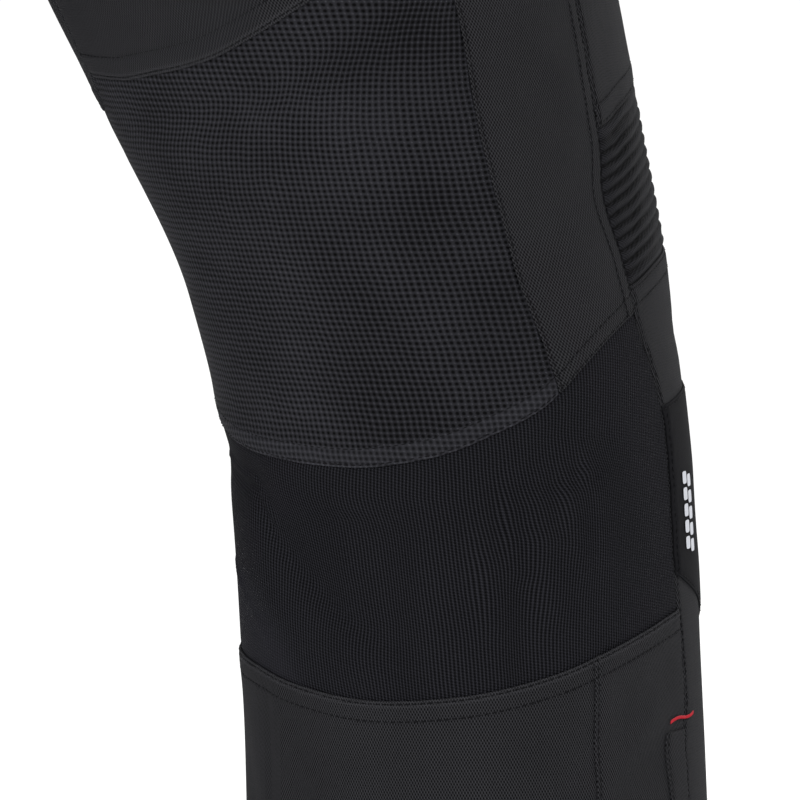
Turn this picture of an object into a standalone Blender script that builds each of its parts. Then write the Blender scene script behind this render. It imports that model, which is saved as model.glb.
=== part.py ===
"""Motorcycle trousers, in the pieces that a maker cuts and sews, in metres with +Z up.

The pair is hollow and open at the waist and at both hems, filled out as when it is worn, with
the knees slightly bent. The front faces -Y. The origin is the centre of the waist, where the
wearer holds the pair up.

A place on a leg is a turn and a drop. The turn runs round the leg in degrees: 0 is the inner
side, 90 the back, 180 the outer side and 270 the front. The drop is the depth below the waist
in millimetres. Both legs share one surface, and the right leg is its mirror image.
"""
import math
from typing import NamedTuple

import bmesh
import bpy
import numpy as np

MM = 0.001

# Cloth and sewing, in millimetres
WALL = 1.6
SEAM_GAP = 0.3
STRETCH_RECESS = 1.2
LAID_ON = WALL + SEAM_GAP

# Round-cornered sections: 2 is an ellipse, more is squarer
SQUARENESS = 2.15

# Lengths below the waist, in millimetres
WAISTBAND = 40
HIP = 180
FORK_TOP = 250
FORK = 270
ZIP_TOP = 712
OUTSEAM = 1070

# Accordion pleats above the knee, in millimetres
PLEATS = 13
PLEAT_HEIGHT = 1.5

# Snap of the waistband, in millimetres
SNAP_RADIUS = 7.5
SNAP_HEIGHT = 2.5
SNAP_ROUNDING = 0.8
SNAP_SIDES = 24

# Columns of cells round each half of a leg
BACK_TO_SPLIT = 7
BACK_COLUMNS = 11
PATCH_SHARE = 0.805
PATCH_COLUMNS = 9
FRONT_COLUMNS = PATCH_COLUMNS + 2
FLY_COLUMN = FRONT_COLUMNS - 2
WAIST_OVERLAP = 2

SETTLING_ROUNDS = 14
TANGENT_TURN = 0.4
TANGENT_DROP = 0.4


class Section(NamedTuple):
    """Level section of a leg: its middle and how far it reaches to each side."""
    drop: float
    out: float
    back: float
    inner: float
    outer: float
    rear: float
    front: float


# The fork is where the inner side meets the middle plane: inner equals out
SECTIONS = (
    Section(0, 0, 0, 165, 165, 118, 118),
    Section(90, 25, 4, 160, 160, 133, 124),
    Section(180, 62, 9, 128, 136, 142, 130),
    Section(FORK, 104, 6, 104, 104, 125, 122),
    Section(350, 126, -22, 100, 100, 113, 110),
    Section(440, 146, -52, 99, 98, 104, 106),
    Section(500, 158, -71, 90, 90, 96, 100),
    Section(560, 169, -88, 81, 84, 88, 93),
    Section(620, 177, -100, 82, 79, 84, 88),
    Section(700, 187, -92, 81, 79, 84, 84),
    Section(780, 198, -80, 82, 79, 86, 80),
    Section(900, 216, -60, 79, 77, 82, 76),
    Section(OUTSEAM, 240, -36, 74, 74, 76, 72),
)


class Fold(NamedTuple):
    """Soft trough between two places on a leg; a depth below nought is a ridge."""
    turn: float
    drop: float
    end_turn: float
    end_drop: float
    depth: float
    width: float


FOLDS = (
    Fold(30, 618, 56, 627, 2.4, 9),
    Fold(56, 627, 78, 656, 2.8, 10),
    Fold(78, 656, 100, 676, 1.6, 10),
    Fold(130, 618, 131, 652, 2.0, 9),
    Fold(150, 712, 176, 694, 1.8, 9),
    Fold(150, 742, 180, 712, 1.6, 9),
    Fold(215, 640, 262, 652, 1.8, 12),
    Fold(280, 668, 335, 650, 1.8, 12),
    Fold(20, 930, 70, 955, 1.8, 14),
    Fold(110, 985, 165, 965, 1.8, 14),
    Fold(215, 975, 275, 990, 2.0, 14),
)
DEGREE_OF_LEG = 1.5


class Line(NamedTuple):
    """Point of a seam that runs down a leg."""
    drop: float
    turn: float


INSEAM = (
    Line(270, 0), Line(300, 4), Line(360, 21), Line(420, 39), Line(461, 46), Line(480, 46),
    Line(500, 36), Line(520, 28), Line(570, 21), Line(620, 19), Line(700, 18), Line(850, 17), Line(1070, 15),
)
SIDE_BACK_SEAM = (
    Line(40, 138), Line(250, 142), Line(451, 145), Line(500, 143), Line(545, 142.5),
    Line(573, 146), Line(600, 149), Line(640, 151), Line(690, 151), Line(730, 150), Line(1070, 150),
)
OUTSIDE_SEAM = (
    Line(0, 180), Line(453, 179.5), Line(500, 179), Line(524, 175.6), Line(546, 178), Line(566, 179),
    Line(590, 183.5), Line(606, 185.5), Line(650, 184), Line(700, 186.5), Line(721, 184), Line(1070, 184),
)


class Across(NamedTuple):
    """Point of a seam that runs round a leg."""
    turn: float
    drop: float


SEAT_SEAM = (
    Across(40, 480.5), Across(62, 481), Across(74, 478.5), Across(86, 474.5), Across(98, 466),
    Across(113, 453), Across(145, 425), Across(180, 412),
)
KNEE_SEAM = (
    Across(25, 600.5), Across(41, 608.5), Across(64, 614), Across(89, 616), Across(110, 612),
    Across(130, 602.5), Across(143, 594.5), Across(156, 581.5), Across(166, 572.5), Across(183, 560.5),
)
CALF_SEAM = (
    Across(20, 685.5), Across(51, 688.5), Across(71, 693), Across(92, 696), Across(112, 694),
    Across(139, 687), Across(159, 679), Across(176, 673), Across(190, 668.5),
)
ACCORDION_TOP_SEAM = (
    Across(175, 500.5), Across(179, 498.4), Across(184, 495.5), Across(188, 492.6), Across(192, 490.8),
    Across(198, 488.6), Across(209, 485.5), Across(235, 480), Across(270, 478), Across(310, 480),
    Across(350, 487), Across(410, 495),
)
ACCORDION_FOOT_SEAM = (
    Across(175, 556.5), Across(179, 554.4), Across(184, 551.8), Across(188, 549.8), Across(196, 547),
    Across(235, 541), Across(270, 539), Across(310, 541), Across(350, 547), Across(400, 554),
)
PATCH_TOP_EDGE = (
    Across(180, 600), Across(186.5, 598.5), Across(204.5, 595), Across(270, 590), Across(346, 602),
    Across(390, 614),
)
PATCH_FOOT_EDGE = (
    Across(180, 655), Across(187, 660), Across(200, 668), Across(225, 684), Across(270, 696),
    Across(315, 684), Across(346, 664), Across(390, 654),
)


def level_at(drop):
    """Seam or row that stays at one drop all round."""
    return Across(0, drop), Across(420, drop)


class Level(NamedTuple):
    """Row of the cut, with its seam across the back and the front, and the rows to the next level."""
    name: str
    steps: int
    back: tuple
    front: tuple


LEVELS = (
    Level("waist_top", 2, level_at(0), level_at(0)),
    Level("waist_seam", 3, level_at(WAISTBAND), level_at(WAISTBAND)),
    Level("hip", 3, level_at(HIP), level_at(HIP)),
    Level("fork_top", 3, level_at(FORK_TOP), level_at(FORK_TOP)),
    Level("fork", 5, level_at(FORK), level_at(FORK)),
    Level("seat_seam", 3, SEAT_SEAM, None),
    Level("accordion_top", 4, None, ACCORDION_TOP_SEAM),
    Level("accordion_foot", 2, None, ACCORDION_FOOT_SEAM),
    Level("knee_seam", 2, KNEE_SEAM, None),
    Level("patch_top", 3, None, PATCH_TOP_EDGE),
    Level("patch_foot", 2, None, PATCH_FOOT_EDGE),
    Level("calf_seam", 2, CALF_SEAM, None),
    Level("zip_top", 6, level_at(ZIP_TOP), None),
    Level("ankle", 0, level_at(OUTSEAM), level_at(OUTSEAM)),
)
LEVEL = {level.name: number for number, level in enumerate(LEVELS)}


def smooth_curve(xs, ys):
    """Cubic through the points (xs, ys) that never swings past a row of its table."""
    xs = np.asarray(xs, float)
    ys = np.asarray(ys, float)
    step = np.diff(xs)
    rise = np.diff(ys) / step
    slope = np.zeros_like(ys)
    slope[0] = rise[0]
    slope[-1] = rise[-1]
    for k in range(1, len(xs) - 1):
        if rise[k - 1] * rise[k] > 0:
            before = 2 * step[k] + step[k - 1]
            after = step[k] + 2 * step[k - 1]
            slope[k] = (before + after) / (before / rise[k - 1] + after / rise[k])

    def curve(x):
        x = np.clip(np.asarray(x, float), xs[0], xs[-1])
        k = np.clip(np.searchsorted(xs, x, side="right") - 1, 0, len(step) - 1)
        t = (x - xs[k]) / step[k]
        start = (1 + 2 * t) * (1 - t) ** 2 * ys[k] + t * (1 - t) ** 2 * step[k] * slope[k]
        return start + t * t * (3 - 2 * t) * ys[k + 1] + t * t * (t - 1) * step[k] * slope[k + 1]

    return curve


def seam_curve(points):
    """Curve through a seam's table, from its first column to its second."""
    return smooth_curve(*zip(*points))


REACH = {
    name: smooth_curve([row.drop for row in SECTIONS], [getattr(row, name) for row in SECTIONS])
    for name in Section._fields[1:]
}
inseam = seam_curve(INSEAM)
side_back_seam = seam_curve(SIDE_BACK_SEAM)
outside_seam = seam_curve(OUTSIDE_SEAM)


def plain_leg(turn, drop):
    """Points of the smooth leg, outward, backward and up, half a seam gap off the middle plane."""
    turn = np.radians(turn)
    cosine = np.cos(turn)
    sine = np.sin(turn)
    power = 2 / SQUARENESS
    side = np.where(cosine > 0, REACH["inner"](drop), REACH["outer"](drop))
    depth = np.where(sine > 0, REACH["rear"](drop), REACH["front"](drop))
    outward = REACH["out"](drop) + SEAM_GAP / 2 - np.sign(cosine) * np.abs(cosine) ** power * side
    backward = REACH["back"](drop) + np.sign(sine) * np.abs(sine) ** power * depth
    return np.stack([outward, backward, -np.asarray(drop, float) + 0 * outward], -1)


def leg_normals(turn, drop):
    """Unit vectors that point out of the smooth leg."""
    round_leg = plain_leg(turn + TANGENT_TURN, drop) - plain_leg(turn - TANGENT_TURN, drop)
    down_leg = plain_leg(turn, drop + TANGENT_DROP) - plain_leg(turn, drop - TANGENT_DROP)
    normal = np.cross(round_leg, down_leg)
    return normal / np.linalg.norm(normal, axis=-1, keepdims=True)


def fold_depth(turn, drop):
    """How far the soft folds sink the cloth at each place."""
    sunk = np.zeros(np.shape(turn))
    for fold in FOLDS:
        along = np.array([(fold.end_turn - fold.turn) * DEGREE_OF_LEG, fold.end_drop - fold.drop])
        away = np.stack([(turn - fold.turn) * DEGREE_OF_LEG, drop - fold.drop], -1)
        share = np.clip(away @ along / (along @ along), 0, 1)
        distance = np.linalg.norm(away - share[..., None] * along, axis=-1)
        sunk += fold.depth * np.exp(-(distance / fold.width) ** 2)
    return sunk


def fork_turn(drop):
    """Turn at which the back of a leg meets the middle plane above the fork."""
    share = np.clip(REACH["out"](drop) / REACH["inner"](drop), 0, 1)
    return np.degrees(np.arccos(share ** (SQUARENESS / 2)))


def meet(across, down, turn_offset=0.0):
    """Drop at which a seam round the leg meets a line down the leg."""
    seam = seam_curve(across)
    drop = float(seam(turn_offset))
    for _ in range(SETTLING_ROUNDS):
        drop = float(seam(down(drop) + turn_offset))
    return drop


class LegPattern:
    """The cut of one leg: its rows and columns, which every panel shares with its neighbours."""

    def __init__(self):
        self.inner_ends = [self.level_end(level, inseam) for level in LEVELS]
        self.outer_ends = [self.level_end(level, outside_seam) for level in LEVELS]
        rows = self.rows_between("waist_top", "ankle")
        self.inner_drops = np.interp(rows, range(len(LEVELS)), self.inner_ends)
        self.outer_drops = np.interp(rows, range(len(LEVELS)), self.outer_ends)
        above = self.inner_drops < FORK
        self.back_inner_turns = np.where(above, fork_turn(self.inner_drops), inseam(self.inner_drops))
        self.front_inner_turns = np.where(above, -fork_turn(self.inner_drops), inseam(self.inner_drops)) + 360
        self.outer_turns = outside_seam(self.outer_drops)
        self.shares = {
            "back": [k / BACK_TO_SPLIT for k in range(BACK_TO_SPLIT + 1)],
            "front": [*np.linspace(0, PATCH_SHARE, PATCH_COLUMNS + 1), (1 + PATCH_SHARE) / 2, 1],
        }

    @staticmethod
    def level_end(level, line):
        """Drop of a level where it meets the inseam or the outside seam."""
        if level.back:
            return meet(level.back, line)
        return meet(level.front, line, 360.0 if line is inseam else 0.0)

    @staticmethod
    def rows_between(first, last, steps=None):
        """Row numbers from one level to another; a whole number is a level itself."""
        rows = []
        for number in range(LEVEL[first], LEVEL[last]):
            count = steps or LEVELS[number].steps
            rows += [number + k / count for k in range(count)]
        return rows + [float(LEVEL[last])]

    def column_turn(self, face, column, drop):
        """Turn of a column at a drop, on the back or the front of the leg."""
        outside = float(np.interp(drop, self.outer_drops, self.outer_turns))
        if face == "front":
            inside = float(np.interp(drop, self.inner_drops, self.front_inner_turns))
            return outside + (inside - outside) * self.shares["front"][column]
        inside = float(np.interp(drop, self.inner_drops, self.back_inner_turns))
        split = float(side_back_seam(drop))
        if column <= BACK_TO_SPLIT:
            return inside + (split - inside) * self.shares["back"][column]
        return split + (outside - split) * (column - BACK_TO_SPLIT) / (BACK_COLUMNS - BACK_TO_SPLIT)

    def between_seams(self, face, row, turn, across):
        """Drop of a row between the seams above and below it; across is 0 at the inseam, 1 at the side."""
        seams = [number for number, level in enumerate(LEVELS) if getattr(level, face)]
        above = max(number for number in seams if number <= row)
        below = min(number for number in seams if number >= row)
        upper = float(seam_curve(getattr(LEVELS[above], face))(turn))
        if above == below:
            return upper
        lower = float(seam_curve(getattr(LEVELS[below], face))(turn))
        shares = []
        for drops in (self.inner_ends, self.outer_ends):
            drop = np.interp(row, range(len(LEVELS)), drops)
            shares.append((drop - drops[above]) / (drops[below] - drops[above]))
        return upper + (lower - upper) * (shares[0] + (shares[1] - shares[0]) * across)

    def row_drop(self, face, row, turn):
        """Drop of a row at a turn, which meets the inseam and the outside seam at its own ends."""
        inner_drop = np.interp(row, range(len(LEVELS)), self.inner_ends)
        outer_drop = np.interp(row, range(len(LEVELS)), self.outer_ends)
        turns = self.front_inner_turns if face == "front" else self.back_inner_turns
        inner_turn = np.interp(inner_drop, self.inner_drops, turns)
        outer_turn = np.interp(outer_drop, self.outer_drops, self.outer_turns)
        across = (turn - inner_turn) / (outer_turn - inner_turn)
        inner_error = inner_drop - self.between_seams(face, row, inner_turn, 0)
        outer_error = outer_drop - self.between_seams(face, row, outer_turn, 1)
        drop = self.between_seams(face, row, turn, across)
        return drop + (1 - across) * inner_error + across * outer_error

    def lay_out(self, face, rows, columns):
        """Turn and drop of every crossing of the rows and the columns."""
        turns = np.zeros((len(rows), len(columns)))
        drops = np.zeros((len(rows), len(columns)))
        for j, row in enumerate(rows):
            for i, column in enumerate(columns):
                drop = float(np.interp(row, range(len(LEVELS)), self.outer_ends))
                for _ in range(SETTLING_ROUNDS):
                    turn = self.column_turn(face, column, drop)
                    drop = self.row_drop(face, row, turn)
                turns[j, i] = turn
                drops[j, i] = drop
        return turns, drops


def unit(vectors):
    """The vectors at length one."""
    return vectors / np.linalg.norm(vectors, axis=-1, keepdims=True)


def edge_shift(edge, inside, normals, first=0):
    """Half a seam gap from an edge into its panel, square to the edge; nought before the first point."""
    run = np.gradient(edge, axis=0)
    run[first] = edge[first + 1] - edge[first]
    run = unit(run - np.sum(run * normals, -1, keepdims=True) * normals)
    into = inside - edge
    into = into - np.sum(into * normals, -1, keepdims=True) * normals
    into = unit(into - np.sum(into * run, -1, keepdims=True) * run)
    into[:first] = 0
    return into * SEAM_GAP / 2


def draw_in(points, normals, face, rows, columns):
    """Draw a panel's sewn edges in by half a seam gap, but not where it meets the middle plane."""
    moved = points.copy()
    fork_row = sum(row < LEVEL["fork"] for row in rows)
    inner_column = 0 if face == "back" else FRONT_COLUMNS
    for side, beside in ((0, 1), (-1, -2)):
        at_middle = columns[side] == inner_column
        first = fork_row if at_middle else 0
        if first < len(rows) - 1:
            moved[:, side] += edge_shift(points[:, side], points[:, beside], normals[:, side], first)
        moved[side] += edge_shift(points[side], points[beside], normals[side])
        if at_middle and fork_row and rows[side] < LEVEL["fork"]:
            moved[side, side] = points[side, side]
    if rows[0] < LEVEL["fork"]:
        for side in (0, -1):
            if columns[side] == inner_column:
                moved[:fork_row, side, 0] = SEAM_GAP / 2
    return moved


def to_linear(channel):
    """Linear value of one sRGB channel from 0 to 255."""
    value = channel / 255
    return value / 12.92 if value <= 0.04045 else ((value + 0.055) / 1.055) ** 2.4


def make_material(name, colour, roughness, metallic=0.0):
    """Principled material of one sRGB colour."""
    material = bpy.data.materials.new(name)
    material.use_nodes = True
    shader = material.node_tree.nodes["Principled BSDF"]
    shader.inputs["Base Color"].default_value = [*(to_linear(channel) for channel in colour), 1.0]
    shader.inputs["Roughness"].default_value = roughness
    shader.inputs["Metallic"].default_value = metallic
    return material


def add_object(name, mesh, material, collection):
    """Object of a finished mesh, in the garment's collection."""
    mesh.materials.append(material)
    part = bpy.data.objects.new(name, mesh)
    collection.objects.link(part)
    return part


def add_wall(name, outer, inner, material, collection):
    """Closed wall between two grids of points in millimetres, each of rows by columns."""
    rows, columns = outer.shape[:2]
    bm = bmesh.new()
    bmesh.ops.create_grid(bm, x_segments=columns - 1, y_segments=rows - 1, size=1.0)
    bmesh.ops.triangulate(bm, faces=bm.faces[:], quad_method="FIXED")
    inner_side = bm.verts[:]
    raised = bmesh.ops.extrude_face_region(bm, geom=bm.faces[:])
    outer_side = [part for part in raised["geom"] if isinstance(part, bmesh.types.BMVert)]
    for side, points in ((inner_side, inner), (outer_side, outer)):
        for vert in side:
            column = round((vert.co.x + 1) / 2 * (columns - 1))
            row = round((1 - vert.co.y) / 2 * (rows - 1))
            vert.co = points[row, column] * MM
    bmesh.ops.triangulate(bm, faces=bm.faces[:])
    bmesh.ops.recalc_face_normals(bm, faces=bm.faces[:])
    mesh = bpy.data.meshes.new(name)
    bm.to_mesh(mesh)
    bm.free()
    mesh.shade_smooth()
    mesh.set_sharp_from_angle(angle=math.radians(40))
    return add_object(name, mesh, material, collection)


class Panel(NamedTuple):
    """Piece of a leg between two levels and two columns, lifted off or sunk below its surface."""
    name: str
    face: str
    top: str
    foot: str
    first: int
    last: int
    cloth: str
    lift: float = 0.0


PANELS = (
    Panel("seat", "back", "waist_seam", "seat_seam", 0, BACK_TO_SPLIT, "textile"),
    Panel("mesh_back", "back", "seat_seam", "knee_seam", 0, BACK_TO_SPLIT, "mesh"),
    Panel("side_back", "back", "waist_seam", "knee_seam", BACK_TO_SPLIT, BACK_COLUMNS, "textile"),
    Panel("knee_back_stretch", "back", "knee_seam", "calf_seam", 0, BACK_COLUMNS, "stretch",
          -STRETCH_RECESS),
    Panel("calf_back", "back", "calf_seam", "ankle", 0, BACK_TO_SPLIT, "textile"),
    Panel("calf_side", "back", "calf_seam", "ankle", BACK_TO_SPLIT, BACK_COLUMNS, "textile"),
    Panel("calf_zip_flap", "back", "zip_top", "ankle", BACK_COLUMNS - 1, BACK_COLUMNS, "textile", LAID_ON),
    Panel("thigh_front", "front", "waist_seam", "accordion_top", 0, FRONT_COLUMNS, "textile"),
    Panel("knee_front", "front", "accordion_foot", "ankle", 0, FRONT_COLUMNS, "textile"),
    Panel("knee_patch", "front", "patch_top", "patch_foot", 0, PATCH_COLUMNS, "patch", LAID_ON),
)
FLY = Panel("fly_flap", "front", "waist_seam", "hip", FLY_COLUMN, FRONT_COLUMNS, "textile", LAID_ON)
ACCORDION = Panel("knee_accordion", "front", "accordion_top", "accordion_foot", 0, FRONT_COLUMNS, "accordion")


def cut_panel(pattern, panel, rows):
    """Outer points and normals of a panel as sewn in, on the left leg."""
    columns = list(range(panel.first, panel.last + 1))
    turns, drops = pattern.lay_out(panel.face, rows, columns)
    normals = leg_normals(turns, drops)
    points = plain_leg(turns, drops) - normals * fold_depth(turns, drops)[..., None]
    points = draw_in(points, normals, panel.face, rows, columns)
    return points + normals * panel.lift, normals


def add_on_legs(name, outer, inner, material, collection, legs=("left", "right")):
    """The wall on the left leg as it is, and on the right leg as its mirror image."""
    for leg in legs:
        mirror = np.array([1 if leg == "left" else -1, 1, 1])
        add_wall(f"{name}_{leg}", outer * mirror, inner * mirror, material, collection)


def add_accordion(pattern, material, collection):
    """Pleats raised in the outer points over a plain inside, with half their height at the side seams."""
    rows = pattern.rows_between(ACCORDION.top, ACCORDION.foot, steps=2 * PLEATS)
    points, normals = cut_panel(pattern, ACCORDION, rows)
    height = np.zeros(points.shape[:2])
    height[1::2] = PLEAT_HEIGHT
    height[:, [0, -1]] /= 2
    add_on_legs(ACCORDION.name, points + normals * height[..., None], points - normals * WALL,
                material, collection)


def add_fly(pattern, material, collection):
    """Flap over the fly on the left front, trimmed where it would pass the middle plane."""
    points, normals = cut_panel(pattern, FLY, pattern.rows_between(FLY.top, FLY.foot))
    inner = points - normals * WALL
    edge = points[:, -1, 0]
    share = (SEAM_GAP / 2 - edge) / (points[:, -2, 0] - edge)
    for layer in (points, inner):
        layer[:, -1] += np.clip(share, 0, 1)[:, None] * (layer[:, -2] - layer[:, -1])
    add_on_legs(FLY.name, points, inner, material, collection, legs=("left",))


def waistband_stations():
    """Columns round the waist from the middle of the front, with the side and the lift of each."""
    right = [("front", column, -1, 0.0) for column in range(FRONT_COLUMNS, -1, -1)]
    right += [("back", column, -1, 0.0) for column in range(BACK_COLUMNS - 1, -1, -1)]
    left = [("back", column, 1, 0.0) for column in range(1, BACK_COLUMNS + 1)]
    left += [("front", column, 1, 0.0) for column in range(1, FRONT_COLUMNS)]
    left.append(("front", FRONT_COLUMNS, 1, LAID_ON))
    last = FRONT_COLUMNS - WAIST_OVERLAP
    lapped = [("front", column, -1, LAID_ON) for column in range(FRONT_COLUMNS - 1, last - 1, -1)]
    return right + left + lapped


def add_waistband(pattern, material, collection):
    """Band round the waist whose left end laps over the right; returns its outer points and normals."""
    rows = pattern.rows_between("waist_top", "waist_seam")
    strips = []
    for face, column, side, lift in waistband_stations():
        turns, drops = pattern.lay_out(face, rows, [column])
        normals = leg_normals(turns, drops)
        points = plain_leg(turns, drops) + normals * lift
        if face == "back" and column == 0:
            points[..., 0] = 0
        mirror = np.array([side, 1, 1])
        strips.append((points * mirror, normals * mirror))
    outer = np.concatenate([points for points, _ in strips], axis=1)
    normals = np.concatenate([normal for _, normal in strips], axis=1)
    outer[-1, :, 2] += SEAM_GAP / 2
    add_wall("waistband", outer, outer - normals * WALL, material, collection)
    return outer, normals


def add_snap(outer, normals, material, collection):
    """Round metal cap on the last cell of the waistband's lapped end."""
    end = outer[:, -WAIST_OVERLAP:]
    seat = end.reshape(-1, 3).mean(axis=0)
    axis = unit(normals[:, -WAIST_OVERLAP:].reshape(-1, 3).mean(axis=0))
    centre = seat + axis * (SNAP_HEIGHT / 2 + SEAM_GAP)
    bm = bmesh.new()
    cap = bmesh.ops.create_cone(bm, cap_ends=True, segments=SNAP_SIDES, radius1=SNAP_RADIUS * MM,
                                radius2=SNAP_RADIUS * MM, depth=SNAP_HEIGHT * MM)
    rim = [edge for edge in bm.edges if all(vert.co.z > 0 for vert in edge.verts)]
    bmesh.ops.bevel(bm, geom=rim, offset=SNAP_ROUNDING * MM, segments=2, profile=0.5, affect="EDGES",
                    material=-1)
    across = unit(np.cross([0.0, 0.0, 1.0], axis))
    up = np.cross(axis, across)
    for vert in bm.verts:
        x, y, z = vert.co
        vert.co = centre * MM + across * x + up * y + axis * z
    bmesh.ops.recalc_face_normals(bm, faces=bm.faces[:])
    mesh = bpy.data.meshes.new("waist_snap")
    bm.to_mesh(mesh)
    bm.free()
    mesh.shade_smooth()
    mesh.set_sharp_from_angle(angle=math.radians(40))
    add_object("waist_snap", mesh, material, collection)


def make_cloths():
    """The cloths and the metal, by name."""
    return {
        "textile": make_material("woven_textile", (44, 44, 47), 0.75),
        "mesh": make_material("coarse_mesh", (37, 37, 41), 0.7),
        "stretch": make_material("rib_knit_stretch", (29, 28, 32), 0.85),
        "accordion": make_material("accordion_stretch", (38, 38, 41), 0.75),
        "patch": make_material("coated_knee_cloth", (30, 30, 33), 0.6),
        "metal": make_material("blackened_metal", (52, 52, 55), 0.35, 1.0),
    }


def build_trousers():
    """Every piece of the pair."""
    for part in list(bpy.data.objects):
        bpy.data.objects.remove(part)
    garment = bpy.data.collections.new("motorcycle_trousers")
    bpy.context.scene.collection.children.link(garment)
    cloths = make_cloths()
    pattern = LegPattern()
    for panel in PANELS:
        points, normals = cut_panel(pattern, panel, pattern.rows_between(panel.top, panel.foot))
        add_on_legs(panel.name, points, points - normals * WALL, cloths[panel.cloth], garment)
    add_accordion(pattern, cloths["accordion"], garment)
    add_fly(pattern, cloths["textile"], garment)
    outer, normals = add_waistband(pattern, cloths["textile"], garment)
    add_snap(outer, normals, cloths["metal"], garment)


build_trousers()
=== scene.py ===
"""Motorcycle trousers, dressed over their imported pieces.

The trousers are worn and filled out with no wearer in them. Every cut piece is a thin shell of
cloth on its solid's form, with the hems, topstitching and folds of the real pair. A place on a
leg is a turn and a drop. The turn runs round the leg in degrees: 0 is the inner side, 90 the
back, 180 the outer side and 270 the front. The drop is the depth below the waist in millimetres.
"""
from __future__ import annotations

import logging
import math
from dataclasses import dataclass, field
from enum import Enum
from typing import Callable, NamedTuple

import bmesh
import bpy
import numpy as np
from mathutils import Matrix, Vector


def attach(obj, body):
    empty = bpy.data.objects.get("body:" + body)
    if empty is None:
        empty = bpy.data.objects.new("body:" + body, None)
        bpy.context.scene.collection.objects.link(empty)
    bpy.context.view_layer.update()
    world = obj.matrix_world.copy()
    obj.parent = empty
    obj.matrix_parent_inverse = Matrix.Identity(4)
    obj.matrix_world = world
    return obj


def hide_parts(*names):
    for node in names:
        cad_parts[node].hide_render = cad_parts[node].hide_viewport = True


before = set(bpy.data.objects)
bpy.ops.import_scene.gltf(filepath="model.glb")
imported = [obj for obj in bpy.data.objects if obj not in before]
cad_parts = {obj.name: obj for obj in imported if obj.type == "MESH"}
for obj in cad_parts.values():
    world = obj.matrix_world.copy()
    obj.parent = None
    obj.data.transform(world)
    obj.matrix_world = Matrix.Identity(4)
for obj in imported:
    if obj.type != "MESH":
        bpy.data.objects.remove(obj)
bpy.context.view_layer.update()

LOG = logging.getLogger("trousers")
MM = 0.001
TEXTILE_WALL = 1.2
STRETCH_WALL = 1.0
LAID_ON = 1.9
PATCH_LIFT = 0.85
PATCH_WALL = 0.75
WAISTBAND = 40.0
HIP = 180.0
FORK = 270.0
ZIP_TOP = 712.0
OUTSEAM = 1070.0
HEM_BAND = 7.0
ANKLE_HEM = 20.0
HEM_STEP = 0.55
EDGE_SLOPE = 5.0
EDGE_ROUND = 0.45
SEAM_DIP = 0.8
PUCKER = 0.10
PUCKER_LENGTH = 1.9
ROLL_HEIGHT = 0.22
ROW_DEPTH = 0.45
Curve = Callable[[np.ndarray], np.ndarray]


class Section(NamedTuple):
    """Level section of a leg: its middle and how far it reaches to each side."""
    drop: float
    out: float
    back: float
    inner: float
    outer: float
    rear: float
    front: float


SECTIONS = (
    Section(0, 0, 0, 165, 165, 118, 118),
    Section(90, 25, 4, 160, 160, 133, 124),
    Section(180, 62, 9, 128, 136, 142, 130),
    Section(FORK, 104, 6, 104, 104, 125, 122),
    Section(350, 126, -22, 100, 100, 113, 110),
    Section(440, 146, -52, 99, 98, 104, 106),
    Section(500, 158, -71, 90, 90, 96, 100),
    Section(560, 169, -88, 81, 84, 88, 93),
    Section(620, 177, -100, 82, 79, 84, 88),
    Section(700, 187, -92, 81, 79, 84, 84),
    Section(780, 198, -80, 82, 79, 86, 80),
    Section(900, 216, -60, 79, 77, 82, 76),
    Section(OUTSEAM, 240, -36, 74, 74, 76, 72),
)


class Fold(NamedTuple):
    """Soft trough between two places on a leg; a depth below nought is a ridge."""
    turn: float
    drop: float
    end_turn: float
    end_drop: float
    depth: float
    width: float


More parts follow.
